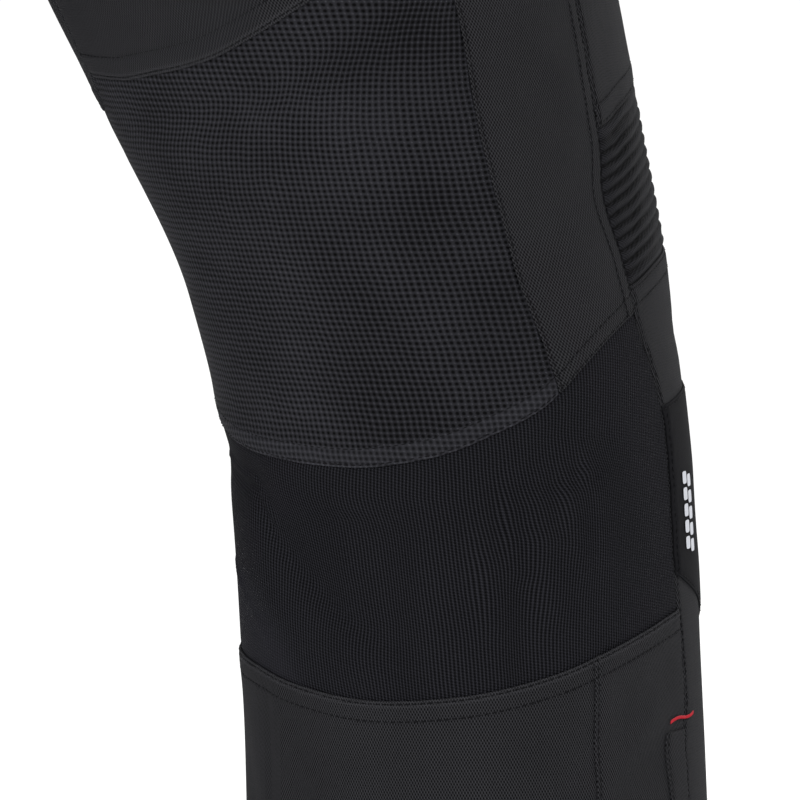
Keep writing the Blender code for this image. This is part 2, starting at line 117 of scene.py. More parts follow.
LARGE_FOLDS = (
    Fold(30, 618, 56, 627, 2.4, 9),
    Fold(56, 627, 78, 656, 2.8, 10),
    Fold(78, 656, 100, 676, 1.6, 10),
    Fold(130, 618, 131, 652, 2.0, 9),
    Fold(150, 712, 176, 694, 1.8, 9),
    Fold(150, 742, 180, 712, 1.6, 9),
    Fold(215, 640, 262, 652, 1.8, 12),
    Fold(280, 668, 335, 650, 1.8, 12),
    Fold(20, 930, 70, 955, 1.8, 14),
    Fold(110, 985, 165, 965, 1.8, 14),
    Fold(215, 975, 275, 990, 2.0, 14),
)
SMALL_FOLDS = (
    Fold(31, 618.5, 55, 624.5, -1.0, 1.6),
    Fold(55, 624.5, 63, 637.5, -0.9, 1.6),
    Fold(31, 622.5, 54, 628.5, 0.9, 2.2),
    Fold(54, 628.5, 62, 641, 0.9, 2.4),
    Fold(62, 641, 92, 674, 1.2, 4),
    Fold(92, 674, 102, 679, 0.8, 5),
    Fold(36, 655, 46, 667, -1.0, 1.7),
    Fold(46, 667, 58, 679, -0.5, 1.8),
    Fold(131, 625.5, 156, 621, 1.0, 3),
    Fold(132, 619, 156, 613, -0.6, 3.5),
    Fold(57, 698, 59, 765, 0.8, 4),
    Fold(63, 700, 65, 790, -0.7, 4),
    Fold(69, 696, 72, 775, 0.7, 4),
    Fold(78, 700, 84, 800, 0.6, 6),
    Fold(96, 640, 120, 630, 0.7, 7),
    Fold(139, 612, 150, 600, 0.9, 5),
    Fold(141, 626, 160, 608, 0.8, 5),
    Fold(133, 660, 150, 640, 0.8, 6),
    Fold(124, 622, 127, 650, -0.9, 5),
    Fold(138, 628, 137, 662, -0.8, 5),
    Fold(45, 668, 70, 678, 0.8, 6),
    Fold(150, 728, 172, 706, -0.8, 5),
    Fold(152, 760, 176, 738, -0.7, 6),
    Fold(40, 720, 52, 760, 0.8, 8),
    Fold(100, 520, 120, 545, 0.7, 12),
    Fold(60, 540, 84, 566, 0.6, 13),
    Fold(155, 470, 170, 500, 0.8, 8),
    Fold(150, 540, 168, 520, 0.7, 7),
    Fold(200, 575, 240, 568, 0.9, 8),
    Fold(300, 566, 345, 578, 0.9, 8),
    Fold(10, 300, 60, 330, 2.2, 12),
    Fold(340, 300, 296, 330, 2.2, 12),
    Fold(352, 340, 310, 390, 1.6, 12),
    Fold(20, 350, 74, 392, 1.4, 14),
    Fold(120, 286, 165, 268, 1.4, 14),
    Fold(225, 270, 262, 292, 1.6, 14),
    Fold(40, 1010, 84, 1026, 1.2, 9),
    Fold(150, 1016, 196, 1004, 1.2, 9),
    Fold(240, 1022, 300, 1012, 1.4, 9),
    Fold(310, 900, 350, 930, 1.4, 12),
)
DEGREE_OF_LEG = 1.5


class Point(NamedTuple):
    """Row of a seam's table: where along it, and where it lies there."""
    at: float
    value: float


# Seams down a leg: the turn at a drop
INSEAM = (
    Point(270, 0), Point(300, 4), Point(360, 21), Point(420, 39), Point(461, 46), Point(480, 46),
    Point(500, 36), Point(520, 28), Point(570, 21), Point(620, 19), Point(700, 18), Point(850, 17),
    Point(1070, 15),
)
SIDE_BACK_SEAM = (
    Point(40, 138), Point(250, 142), Point(451, 145), Point(500, 143), Point(545, 142.5),
    Point(573, 146), Point(600, 149), Point(640, 151), Point(690, 151), Point(730, 150),
    Point(1070, 150),
)
OUTSIDE_SEAM = (
    Point(0, 180), Point(453, 179.5), Point(500, 179), Point(524, 175.6), Point(546, 178),
    Point(566, 179), Point(590, 183.5), Point(606, 185.5), Point(650, 184), Point(700, 186.5),
    Point(721, 184), Point(1070, 184),
)
# Seams round a leg: the drop at a turn
SEAT_SEAM = (
    Point(40, 480.5), Point(62, 481), Point(74, 478.5), Point(86, 474.5), Point(98, 466),
    Point(113, 453), Point(145, 425), Point(180, 412),
)
KNEE_SEAM = (
    Point(25, 600.5), Point(41, 608.5), Point(64, 614), Point(89, 616), Point(110, 612),
    Point(130, 602.5), Point(143, 594.5), Point(156, 581.5), Point(166, 572.5), Point(183, 560.5),
)
CALF_SEAM = (
    Point(20, 685.5), Point(51, 688.5), Point(71, 693), Point(92, 696), Point(112, 694),
    Point(139, 687), Point(159, 679), Point(176, 673), Point(190, 668.5),
)
ACCORDION_TOP_SEAM = (
    Point(175, 500.5), Point(179, 498.4), Point(184, 495.5), Point(188, 492.6), Point(192, 490.8),
    Point(198, 488.6), Point(209, 485.5), Point(235, 480), Point(270, 478), Point(310, 480),
    Point(350, 487), Point(410, 495),
)
ACCORDION_FOOT_SEAM = (
    Point(175, 556.5), Point(179, 554.4), Point(184, 551.8), Point(188, 549.8), Point(196, 547),
    Point(235, 541), Point(270, 539), Point(310, 541), Point(350, 547), Point(400, 554),
)
PATCH_TOP_EDGE = (
    Point(180, 600), Point(186.5, 598.5), Point(204.5, 595), Point(270, 590), Point(346, 602),
    Point(390, 614),
)
PATCH_FOOT_EDGE = (
    Point(180, 655), Point(187, 660), Point(200, 668), Point(225, 684), Point(270, 696),
    Point(315, 684), Point(346, 664), Point(390, 654),
)
PATCH_SHARE = 0.805


def smooth_curve(points: tuple[Point, ...]) -> Curve:
    """Cubic through a table that never swings past a row of it.

    Args:
        points: rows of the table, in rising order of their place.

    Returns:
        The curve, as a function of a number or an array.
    """
    xs, ys = np.array(points, float).T
    step = np.diff(xs)
    rise = np.diff(ys) / step
    slope = np.zeros_like(ys)
    slope[0], slope[-1] = rise[0], rise[-1]
    for k in range(1, len(xs) - 1):
        if rise[k - 1] * rise[k] > 0:
            before = 2 * step[k] + step[k - 1]
            after = step[k] + 2 * step[k - 1]
            slope[k] = (before + after) / (before / rise[k - 1] + after / rise[k])

    def curve(x: np.ndarray) -> np.ndarray:
        """Read the table between its rows.

        Args:
            x: a place, or an array of them, kept within the table.

        Returns:
            The value there.
        """
        x = np.clip(np.asarray(x, float), xs[0], xs[-1])
        k = np.clip(np.searchsorted(xs, x, side="right") - 1, 0, len(step) - 1)
        t = (x - xs[k]) / step[k]
        start = (1 + 2 * t) * (1 - t) ** 2 * ys[k] + t * (1 - t) ** 2 * step[k] * slope[k]
        return start + t * t * (3 - 2 * t) * ys[k + 1] + t * t * (t - 1) * step[k] * slope[k + 1]

    return curve


def level(drop: float) -> Curve:
    """Seam or edge that stays at one drop all round."""
    return lambda turn: np.full(np.shape(turn), float(drop))


def swell(distance: np.ndarray, width: float) -> np.ndarray:
    """Soft hump, 1 at nought and gone by about two widths."""
    return np.exp(-(distance / width) ** 2)


class LegForm:
    """The filled-out form of a leg, which every panel of cloth lies on."""

    squareness = 2.15
    probe = 0.4

    def __init__(self) -> None:
        """Curves of the sections and the length of the leg's middle line."""
        self.reach = {
            name: smooth_curve(tuple(Point(row.drop, getattr(row, name)) for row in SECTIONS))
            for name in Section._fields[1:]
        }
        drops = np.arange(0.0, OUTSEAM + 1)
        middle = np.stack([self.reach["out"](drops), self.reach["back"](drops), drops], -1)
        steps = np.linalg.norm(np.diff(middle, axis=0), axis=1)
        self.drops, self.lengths = drops, np.concatenate([[0], np.cumsum(steps)])

    def plain(self, turn: np.ndarray, drop: np.ndarray) -> np.ndarray:
        """Points of the smooth left leg, without folds.

        Args:
            turn: places round the leg in degrees.
            drop: their depths below the waist in millimetres.

        Returns:
            Points in millimetres.
        """
        angle = np.radians(turn)
        cosine, sine = np.cos(angle), np.sin(angle)
        power = 2 / self.squareness
        side = np.where(cosine > 0, self.reach["inner"](drop), self.reach["outer"](drop))
        depth = np.where(sine > 0, self.reach["rear"](drop), self.reach["front"](drop))
        outward = self.reach["out"](drop) - np.sign(cosine) * np.abs(cosine) ** power * side
        backward = self.reach["back"](drop) + np.sign(sine) * np.abs(sine) ** power * depth
        return np.stack([outward + 0.02, backward, -np.asarray(drop, float) + 0 * outward], -1)

    def rate(self, turn: np.ndarray, drop: np.ndarray) -> np.ndarray:
        """Millimetres to a degree of turn."""
        ahead, behind = self.plain(turn + self.probe, drop), self.plain(turn - self.probe, drop)
        return np.linalg.norm(ahead - behind, axis=-1) / (2 * self.probe)

    def normal(self, turn: np.ndarray, drop: np.ndarray) -> np.ndarray:
        """Directions that point out of the leg.

        Args:
            turn: places round the leg in degrees.
            drop: their depths below the waist in millimetres.

        Returns:
            Unit vectors.
        """
        across = self.plain(turn + self.probe, drop) - self.plain(turn - self.probe, drop)
        down = self.plain(turn, drop + self.probe) - self.plain(turn, drop - self.probe)
        normal = np.cross(across, down)
        return normal / np.linalg.norm(normal, axis=-1, keepdims=True)

    def length_to(self, drop: np.ndarray) -> np.ndarray:
        """Length of the leg's middle line from the waist to a drop."""
        return np.interp(drop, self.drops, self.lengths)

    def sunk(self, turn: np.ndarray, drop: np.ndarray) -> np.ndarray:
        """How far the folds sink the cloth.

        Args:
            turn: places round the leg in degrees.
            drop: their depths below the waist in millimetres.

        Returns:
            Depths in millimetres.
        """
        depth = np.zeros(np.shape(turn))
        for fold in LARGE_FOLDS + SMALL_FOLDS:
            along = np.array([(fold.end_turn - fold.turn) * DEGREE_OF_LEG, fold.end_drop - fold.drop])
            away = np.stack([(turn - fold.turn) * DEGREE_OF_LEG, drop - fold.drop], -1)
            share = np.clip(away @ along / (along @ along), 0, 1)
            distance = np.linalg.norm(away - share[..., None] * along, axis=-1)
            fade = 0.55 + 0.45 * np.sin(np.pi * np.clip(share, 0.05, 0.95))
            depth += fold.depth * fade * swell(distance, fold.width)
        return depth

    def fork_turn(self, drop: np.ndarray) -> np.ndarray:
        """Turn at which the back of a leg meets the middle plane above the fork."""
        share = np.clip(self.reach["out"](drop) / self.reach["inner"](drop), 0, 1)
        return np.degrees(np.arccos(share ** (self.squareness / 2)))


FORM = LegForm()
INSEAM_CURVE = smooth_curve(INSEAM)
SPLIT = smooth_curve(SIDE_BACK_SEAM)
OUTSIDE = smooth_curve(OUTSIDE_SEAM)


def back_inner(drop: np.ndarray) -> np.ndarray:
    """Turn of the back's inner edge: the middle seam above the fork, the inseam below it."""
    return np.where(np.asarray(drop) < FORK, FORM.fork_turn(drop), INSEAM_CURVE(drop))


def front_inner(drop: np.ndarray) -> np.ndarray:
    """Turn of the front's inner edge, a whole turn on from the back's below the fork."""
    return 360 + np.where(np.asarray(drop) < FORK, -FORM.fork_turn(drop), INSEAM_CURVE(drop))


def front_share(share: float) -> Curve:
    """Line down the front at a share of its width from the outside seam."""
    return lambda drop: OUTSIDE(drop) + (front_inner(drop) - OUTSIDE(drop)) * share


def beside(line: Curve, distance: float) -> Curve:
    """Line down the leg at a distance in millimetres from another."""
    return lambda drop: line(drop) + distance / FORM.rate(line(drop), drop)


class Join(Enum):
    """How an edge of a panel meets its neighbour."""
    ABUT = "abut"
    OVER = "over"
    UNDER = "under"
    FREE = "free"


class Side(Enum):
    """Edge of a panel."""
    LEFT = "left"
    RIGHT = "right"
    TOP = "top"
    FOOT = "foot"


MOST_EDGE_SHARE = 0.42
EDGE_LINES = {
    Join.ABUT: (0.0, 0.3, 0.7, 1.2, 1.8, 2.6, 4.0, 6.0, 6.6, 7.2, 8.0, 9.4),
    Join.OVER: (0.0, 0.2, 0.5, 0.9, 1.3, 1.9, 2.8, 4.4, 6.0, 6.5, 7.0, 7.5, 8.1, 9.4, 11.0),
    Join.UNDER: (-4.0, -2.0, -0.6, 0.0, 0.5, 1.1, 1.9, 3.0, 4.6, 7.0),
    Join.FREE: (0.0, 0.25, 0.6, 1.2, 2.0, 3.0, 4.6, 6.4, 7.0, 7.6, 9.0),
}


@dataclass(frozen=True)
class Stitches:
    """Row of topstitching along an edge of a panel, at a distance in from it."""
    side: Side
    inset: float
    start: float = 0.0
    end: float = 1.0
    depth: float = ROW_DEPTH


@dataclass
class Panel:
    """One cut piece of cloth on a leg."""
    name: str
    slot: str
    left: Curve
    right: Curve
    levels: list[Curve]
    joins: dict[Side, Join]
    cell: float
    stitches: list[Stitches] = field(default_factory=list)
    lift: float = 0.0
    wall: float = TEXTILE_WALL
    pleats: int = 0
    bands: tuple[Side, ...] = ()
    rolled: tuple[Side, ...] = ()

    def lines(self, start: Join, end: Join, length: float, cell: float) -> np.ndarray:
        """Grid lines across one stretch of the panel.

        Args:
            start: the join at its first edge.
            end: the join at its last edge.
            length: the stretch in millimetres.
            cell: distance between lines in its middle.

        Returns:
            For each line its millimetres and its share of the length.
        """
        most = MOST_EDGE_SHARE * length
        first, last = (np.array([mm for mm in EDGE_LINES[join] if mm < most]) for join in (start, end))
        count = max(2, round((length - first[-1] - last[-1]) / cell))
        shares = np.arange(1, count) / count
        middle = np.stack([first[-1] * (1 - shares) - last[-1] * shares, shares], -1)
        head = np.stack([first, np.zeros(len(first))], -1)
        tail = np.stack([-last[::-1], np.ones(len(last))], -1)
        return np.concatenate([head, middle, tail])

    def grid(self) -> tuple[np.ndarray, np.ndarray]:
        """Lay rows and columns over the panel, closer at its edges.

        Returns:
            The turn and the drop of every crossing.
        """
        middle = float(np.mean([curve(np.array(180.0)) for curve in (self.levels[0], self.levels[-1])]))
        width = float((self.right(middle) - self.left(middle)) * FORM.rate(np.array(120.0), middle))
        columns = self.lines(self.joins[Side.LEFT], self.joins[Side.RIGHT], width, self.cell)
        rows = []
        for k in range(len(self.levels) - 1):
            start = self.joins[Side.TOP] if k == 0 else Join.FREE
            end = self.joins[Side.FOOT] if k == len(self.levels) - 2 else Join.FREE
            turn = (self.left(middle) + self.right(middle)) / 2
            length = float(self.levels[k + 1](turn) - self.levels[k](turn))
            cell = length / self.pleats / 12 if self.pleats else self.cell
            stretch = self.lines(start, end, length, cell)
            stretch = stretch if k == 0 else stretch[1:]
            rows += [(k, mm, share) for mm, share in stretch]
        turns = np.full((len(rows), len(columns)), float(self.left(middle)))
        drops = np.zeros_like(turns)
        number = np.array([row[0] for row in rows])[:, None]
        row_mm = np.array([row[1] for row in rows])[:, None]
        row_share = np.array([row[2] for row in rows])[:, None]
        for _ in range(16):
            for k in range(len(self.levels) - 1):
                top, foot = self.levels[k](turns), self.levels[k + 1](turns)
                drops = np.where(number == k, top + row_mm + row_share * (foot - top), drops)
            left, right = self.left(drops), self.right(drops)
            near = np.where(columns[:, 1] < 0.5, left, right)
            turns = left + columns[:, 1] * (right - left) + columns[:, 0] / FORM.rate(near, drops)
        return turns, drops

    def from_edge(self, side: Side, turn: np.ndarray, drop: np.ndarray) -> np.ndarray:
        """Distance into the panel from one of its edges.

        Args:
            side: the edge.
            turn: places round the leg in degrees.
            drop: their depths below the waist in millimetres.

        Returns:
            Distances in millimetres.
        """
        if side is Side.TOP:
            return drop - self.levels[0](turn)
        if side is Side.FOOT:
            return self.levels[-1](turn) - drop
        if side is Side.LEFT:
            return (turn - self.left(drop)) * FORM.rate(turn, drop)
        return (self.right(drop) - turn) * FORM.rate(turn, drop)

    def relief(self, turn: np.ndarray, drop: np.ndarray) -> np.ndarray:
        """How far the cloth stands off the leg's form.

        Args:
            turn: places round the leg in degrees.
            drop: their depths below the waist in millimetres.

        Returns:
            Heights in millimetres.
        """
        height = self.lift - FORM.sunk(turn, drop)
        along = np.where(np.isfinite(turn), turn * DEGREE_OF_LEG + drop, 0)
        for side, join in self.joins.items():
            inside = self.from_edge(side, turn, drop)
            wave = np.sin(along / PUCKER_LENGTH + 1.7 * np.sin(along / 23))
            pucker = PUCKER * wave * swell(inside - 2, 4)
            if join is Join.OVER:
                height += HEM_STEP * np.exp(-np.clip(inside - HEM_BAND, 0, None) / EDGE_SLOPE)
                height += pucker - EDGE_ROUND * swell(inside, EDGE_ROUND)
            elif join is Join.ABUT:
                height += pucker - SEAM_DIP * swell(inside, 0.9)
            elif join is Join.UNDER:
                height -= HEM_STEP / (1 + np.exp(np.clip((inside - 0.6) / 0.8, -30, 30)))
            elif join is Join.FREE:
                height -= 0.3 * swell(inside, 0.5)
        for row in self.stitches:
            inside = self.from_edge(row.side, turn, drop) - row.inset
            ripple = 0.75 + 0.25 * np.sin(along * 2 * np.pi / STITCH_PITCH)
            height -= row.depth * ripple * swell(inside, 0.65)
        for side in self.rolled:
            height += ROLL_HEIGHT * rolled_edge(self.from_edge(side, turn, drop))
        if self.pleats:
            height += self.pleat_height(turn, drop)
        return height

    def pleat_height(self, turn: np.ndarray, drop: np.ndarray) -> np.ndarray:
        """Round pleats with sharp valleys, a little uneven, that fade into the side seams.

        Args:
            turn: places round the leg in degrees.
            drop: their depths below the waist in millimetres.

        Returns:
            Heights in millimetres.
        """
        top, foot = self.levels[0](turn), self.levels[-1](turn)
        phase = (drop - top) / (foot - top) * self.pleats
        phase += 0.09 * np.sin(turn * 0.19) + 0.05 * np.sin(turn * 0.53 + phase)
        crest = np.abs(np.sin(np.pi * phase)) ** 0.55
        lean = 0.25 * np.sin(2 * np.pi * phase)
        side = self.from_edge(Side.LEFT, turn, drop)
        outer = np.clip(0.45 + side / 5, 0.45, 1.4) * (1 - 0.45 * ease((side - 18) / 14))
        inner = np.clip(self.from_edge(Side.RIGHT, turn, drop) / 40, 0, 1) ** 2
        inside = np.clip((drop - top) / 3, 0, 1) * np.clip((foot - drop) / 3, 0, 1)
        return PLEAT_HEIGHT * (crest + lean - 0.35) * outer * inner * inside

    def painted_pleat_shade(self, turn: np.ndarray, drop: np.ndarray) -> np.ndarray:
        """Painted shade in the valleys between the pleats, where the cloth is coloured darkest.

        Args:
            turn: places round the leg in degrees.
            drop: their depths below the waist in millimetres.

        Returns:
            1 in the middle of a valley, down to nought on a crest.
        """
        top, foot = self.levels[0](turn), self.levels[-1](turn)
        phase = (drop - top) / (foot - top) * self.pleats + 0.09 * np.sin(turn * 0.19)
        side = self.from_edge(Side.LEFT, turn, drop)
        return swell(np.sin(np.pi * phase), 0.5) * (1 - 0.5 * ease((side - 22) / 14))

    def surface(self, turn: np.ndarray, drop: np.ndarray, lift: float = 0.0) -> np.ndarray:
        """Points of the panel's outer face in millimetres, on the left leg."""
        height = self.relief(turn, drop) + lift
        return FORM.plain(turn, drop) + FORM.normal(turn, drop) * height[..., None]

    def flat_places(self, turn: np.ndarray, drop: np.ndarray) -> np.ndarray:
        """Places in the flat cut, for the cloth's patterns.

        Args:
            turn: places round the leg in degrees.
            drop: their depths below the waist in millimetres.

        Returns:
            Across and up the cut, in millimetres.
        """
        points = FORM.plain(turn, drop)
        steps = np.linalg.norm(np.diff(points[..., :2], axis=1), axis=-1)
        across = np.concatenate([np.zeros((len(turn), 1)), np.cumsum(steps, axis=1)], axis=1)
        across -= across[:, [across.shape[1] // 2]]
        if self.slot == "rib_knit_stretch":
            across -= rib_shift(turn, drop)
        return np.stack([across, -FORM.length_to(drop)], -1)

    def build(self, leg: str) -> bpy.types.Object:
        """The panel as a shell with its patterns' places, on one leg.

        Args:
            leg: "left" or "right"; the right leg is the left one's mirror image.

        Returns:
            The new object, riding on the part's body.
        """
        turn, drop = self.grid()
        points = self.surface(turn, drop)
        if leg == "right":
            points = points * np.array([-1, 1, 1])
        band = np.zeros(turn.shape)
        for side in self.bands:
            inside = self.from_edge(side, turn, drop)
            band += 0.5 * (inside < HEM_BAND) + 0.5 * (swell(inside - 0.5, 0.7) + swell(inside - 6.7, 0.5))
        # Painted washed-out light: the ribs fade into a smooth lighter grey at the inner side of the knee's
        # foot.
        if self.slot == "rib_knit_stretch":
            band += painted_rib_washout(turn, drop)
        # Painted shade: the valleys between the pleats are coloured darker.
        if self.pleats:
            band -= 1.6 * self.painted_pleat_shade(turn, drop)
        # Painted highlight: the two raised lines of a rolled edge are coloured lighter.
        for side in self.rolled:
            band += rolled_edge(self.from_edge(side, turn, drop))
        name = f"{self.name}_cloth_{leg}"
        shell = add_shell(name, points, self.flat_places(turn, drop), np.clip(band, -2, 1), self.wall,
                          flip=leg == "left")
        dress(shell, self.slot, f"{self.name}_{leg}")
        area = grid_area(FORM.plain(turn, drop))
        FORM.plain(turn, drop)
        return shell


STITCH_PITCH = 2.8
STITCH_LENGTH = 2.1
THREAD = 0.42
PLEATS = 13
PLEAT_HEIGHT = 1.35


class RibBend(NamedTuple):
    """How far the knit's ribs are pushed round the leg at a turn, in degrees at each of RIB_DROPS."""
    turn: float
    shifts: tuple[float, ...]


RIB_SWAY = 0.85
RIB_DROPS = (606, 614, 620, 625, 630, 635, 642, 650, 660, 668, 675, 682, 695)
RIB_BENDS = (
    RibBend(30, (0, 0, 0, 0, 0, 0, 0, 0, 0, 0, 0, 0, 0)),
    RibBend(50, (0, 0, -1, -1.5, -1, 0.5, 1.5, 2, 2.2, 2, 1.6, 1.4, 1.4)),
    RibBend(72, (0, 0, -1, -0.6, 1, 3.5, 5, 6, 6.4, 5.8, 5, 4.6, 4.8)),
    RibBend(80, (0, 0, -1, -1.2, 0.5, 3.6, 5, 6, 6.8, 6.4, 5.4, 4.8, 5.4)),
    RibBend(88, (0, 0, -1, -1.8, -0.8, 2.4, 3.5, 4.5, 5.4, 5.6, 4.6, 4, 5.6)),
    RibBend(96, (0, 0, -0.6, -1, 0, 1.8, 3.6, 4.8, 5.6, 5.6, 4.8, 4.6, 5.4)),
    RibBend(106, (0, 0, -0.5, -0.8, -0.3, 0.3, 1.1, 1.7, 2.4, 2.8, 3, 3.1, 3.4)),
    RibBend(116, (0, 0, 0, 0, 0.5, 1.1, 1.8, 2.5, 3.3, 3.8, 4, 4, 4)),
    RibBend(125, (0, 0, 0.3, 0.7, 1.3, 2.3, 3.9, 5.5, 6, 5.4, 4.6, 4.2, 4)),
    RibBend(132, (0, 0.8, 1.8, 3.4, 4.8, 5.6, 6.6, 6.4, 3.8, 2.4, 1.8, 1.6, 1.6)),
    RibBend(142, (0, 0.5, 2.2, 5, 6.4, 7.6, 9, 8.3, 6.2, 4.4, 3.2, 2.6, 2.4)),
    RibBend(149, (0, 1.3, 4.8, 8, 9.2, 10, 9.9, 8, 5.2, 3.6, 2.6, 2, 1.8)),
    RibBend(155, (0, 3.8, 7.6, 8, 8, 7.8, 7.3, 6, 4, 2.8, 2, 1.4, 1)),
    RibBend(172, (0, 0, 0, 0, 0, 0, 0, 0, 0, 0, 0, 0, 0)),
)

def ease(share: np.ndarray) -> np.ndarray:
    """Smooth step from nought to one."""
    share = np.clip(share, 0, 1)
    return share * share * (3 - 2 * share)


def rib_shift(turn: np.ndarray, drop: np.ndarray) -> np.ndarray:
    """How far the ribs of the knit are pushed round the leg by the folds.

    Args:
        turn: places round the leg in degrees.
        drop: their depths below the waist in millimetres.

    Returns:
        Shifts in millimetres.
    """
    turns = np.array([bend.turn for bend in RIB_BENDS])
    bends = np.stack([smooth_curve(tuple(map(Point, RIB_DROPS, bend.shifts)))(drop) for bend in RIB_BENDS])
    first = np.clip(np.searchsorted(turns, turn, side="right") - 1, 0, len(turns) - 2)
    share = ease((turn - turns[first]) / (turns[first + 1] - turns[first]))
    before = np.take_along_axis(bends, first[None], axis=0)[0]
    after = np.take_along_axis(bends, first[None] + 1, axis=0)[0]
    return RIB_SWAY * (before + (after - before) * share)


def painted_rib_washout(turn: np.ndarray, drop: np.ndarray) -> np.ndarray:
    """Share of painted washed-out light, where the ribs fade into a smooth lighter grey, at the inner side
    of the knee's foot.
    """
    away = (turn - 52) * DEGREE_OF_LEG * 0.72 - (drop - 662)
    return 0.6 * ease(0.5 - away / 22) * ease((drop - 648) / 16) * (1 - ease((turn - 62) / 16))


def rolled_edge(inside: np.ndarray) -> np.ndarray:
    """Two thin raised lines side by side, as a rolled and overlocked edge has."""
    return swell(inside - 0.5, 0.4) + swell(inside - 1.9, 0.45)


def grid_area(points: np.ndarray) -> float:
    """Area of a grid.

    Args:
        points: rows by columns of points in millimetres.

    Returns:
        The area in square metres.
    """
    across = np.diff(points, axis=1)[:-1]
    down = np.diff(points, axis=0)[:, :-1]
    return float(np.linalg.norm(np.cross(across, down), axis=-1).sum()) * MM * MM


def add_shell(name: str, points: np.ndarray, places: np.ndarray, band: np.ndarray, wall: float,
              flip: bool) -> bpy.types.Object:
    """Shell of cloth through a grid of points.

    Args:
        name: the object's name.
        points: rows by columns of points in millimetres.
        places: their places in the flat cut in millimetres.
        band: 1 where the cloth is a turned hem band, also painted highlight on rolled edges and painted
            washed-out light on the knit; below nought for painted shade in the valleys of pleats.
        wall: the cloth's thickness in millimetres.
        flip: whether the grid is mirrored, so that its faces are turned round.

    Returns:
        The new object, with its thickness as a live modifier.
    """
    rows, columns = points.shape[:2]
    bm = bmesh.new()
    bmesh.ops.create_grid(bm, x_segments=columns - 1, y_segments=rows - 1, size=1.0)
    mesh = bpy.data.meshes.new(name)
    bm.to_mesh(mesh)
    bm.free()
    flat = np.zeros(len(mesh.vertices) * 3)
    mesh.vertices.foreach_get("co", flat)
    flat = flat.reshape(-1, 3)
    column = np.rint((flat[:, 0] + 1) / 2 * (columns - 1)).astype(int)
    row = np.rint((1 - flat[:, 1]) / 2 * (rows - 1)).astype(int)
    mesh.vertices.foreach_set("co", (points[row, column] * MM).ravel())
    corners = np.zeros(len(mesh.loops), dtype=np.int32)
    mesh.loops.foreach_get("vertex_index", corners)
    uv = mesh.uv_layers.new(name="cut")
    uv.data.foreach_set("uv", places[row, column][corners].ravel())
    hem_and_painted_shading = mesh.attributes.new("hem_band", "FLOAT", "POINT")
    hem_and_painted_shading.data.foreach_set("value", band[row, column].astype(float))
    if flip:
        mesh.flip_normals()
    mesh.shade_smooth()
    shell = bpy.data.objects.new(name, mesh)
    bpy.context.scene.collection.objects.link(shell)
    solidify = shell.modifiers.new("cloth_wall", "SOLIDIFY")
    solidify.thickness = wall * MM
    solidify.offset = -1.0
    solidify.use_even_offset = False
    return shell


def dress(piece: bpy.types.Object, slot: str, *nodes: str) -> None:
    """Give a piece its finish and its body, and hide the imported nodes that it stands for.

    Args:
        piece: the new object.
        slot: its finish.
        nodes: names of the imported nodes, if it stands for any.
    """
    piece.data.materials.append(FINISHES[slot].material())
    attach(piece, "root")
    slot if slot in RECORD_SLOTS else "woven_textile"
    if nodes:
        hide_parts(*nodes)


RECORD_SLOTS = (
    "woven_textile", "coarse_mesh", "rib_knit_stretch", "accordion_stretch", "coated_knee_cloth",
    "blackened_metal",
)


def to_linear(colour: str) -> tuple[float, float, float, float]:
    """Linear colour of an sRGB value.

    Args:
        colour: six hex digits, such as "2b2b2e".

    Returns:
        Red, green, blue and alpha.
    """
    channels = [int(colour[k:k + 2], 16) / 255 for k in (0, 2, 4)]
    linear = [c / 12.92 if c <= 0.04045 else ((c + 0.055) / 1.055) ** 2.4 for c in channels]
    return (*linear, 1.0)


def add_node(tree: bpy.types.NodeTree, kind: str, inputs: dict | None = None,
             **settings: object) -> bpy.types.Node:
    """Add a node with its settings and links.

    Args:
        tree: the material's node tree.
        kind: the node's type without its prefix, such as "Math".
        inputs: what goes into each socket, by number or name: an output socket or a value.
        settings: the node's own properties.

    Returns:
        The new node.
    """
    node = tree.nodes.new("ShaderNode" + kind)
    for key, value in settings.items():
        setattr(node, key, value)
    for key, value in (inputs or {}).items():
        if isinstance(value, bpy.types.NodeSocket):
            tree.links.new(value, node.inputs[key])
        else:
            node.inputs[key].default_value = value
    return node


def add_math(tree: bpy.types.NodeTree, operation: str, *values: object) -> bpy.types.NodeSocket:
    """Output of one sum of numbers or sockets."""
    return add_node(tree, "Math", dict(enumerate(values)), operation=operation).outputs[0]


class Pattern(Enum):
    """How a cloth's surface is made."""
    WEAVE = "plain weave"
    MESH = "coarse mesh"
    RIB = "rib knit"
    COATED = "coated"
    THREAD = "thread"
    FILM = "bead film"
    METAL = "metal"


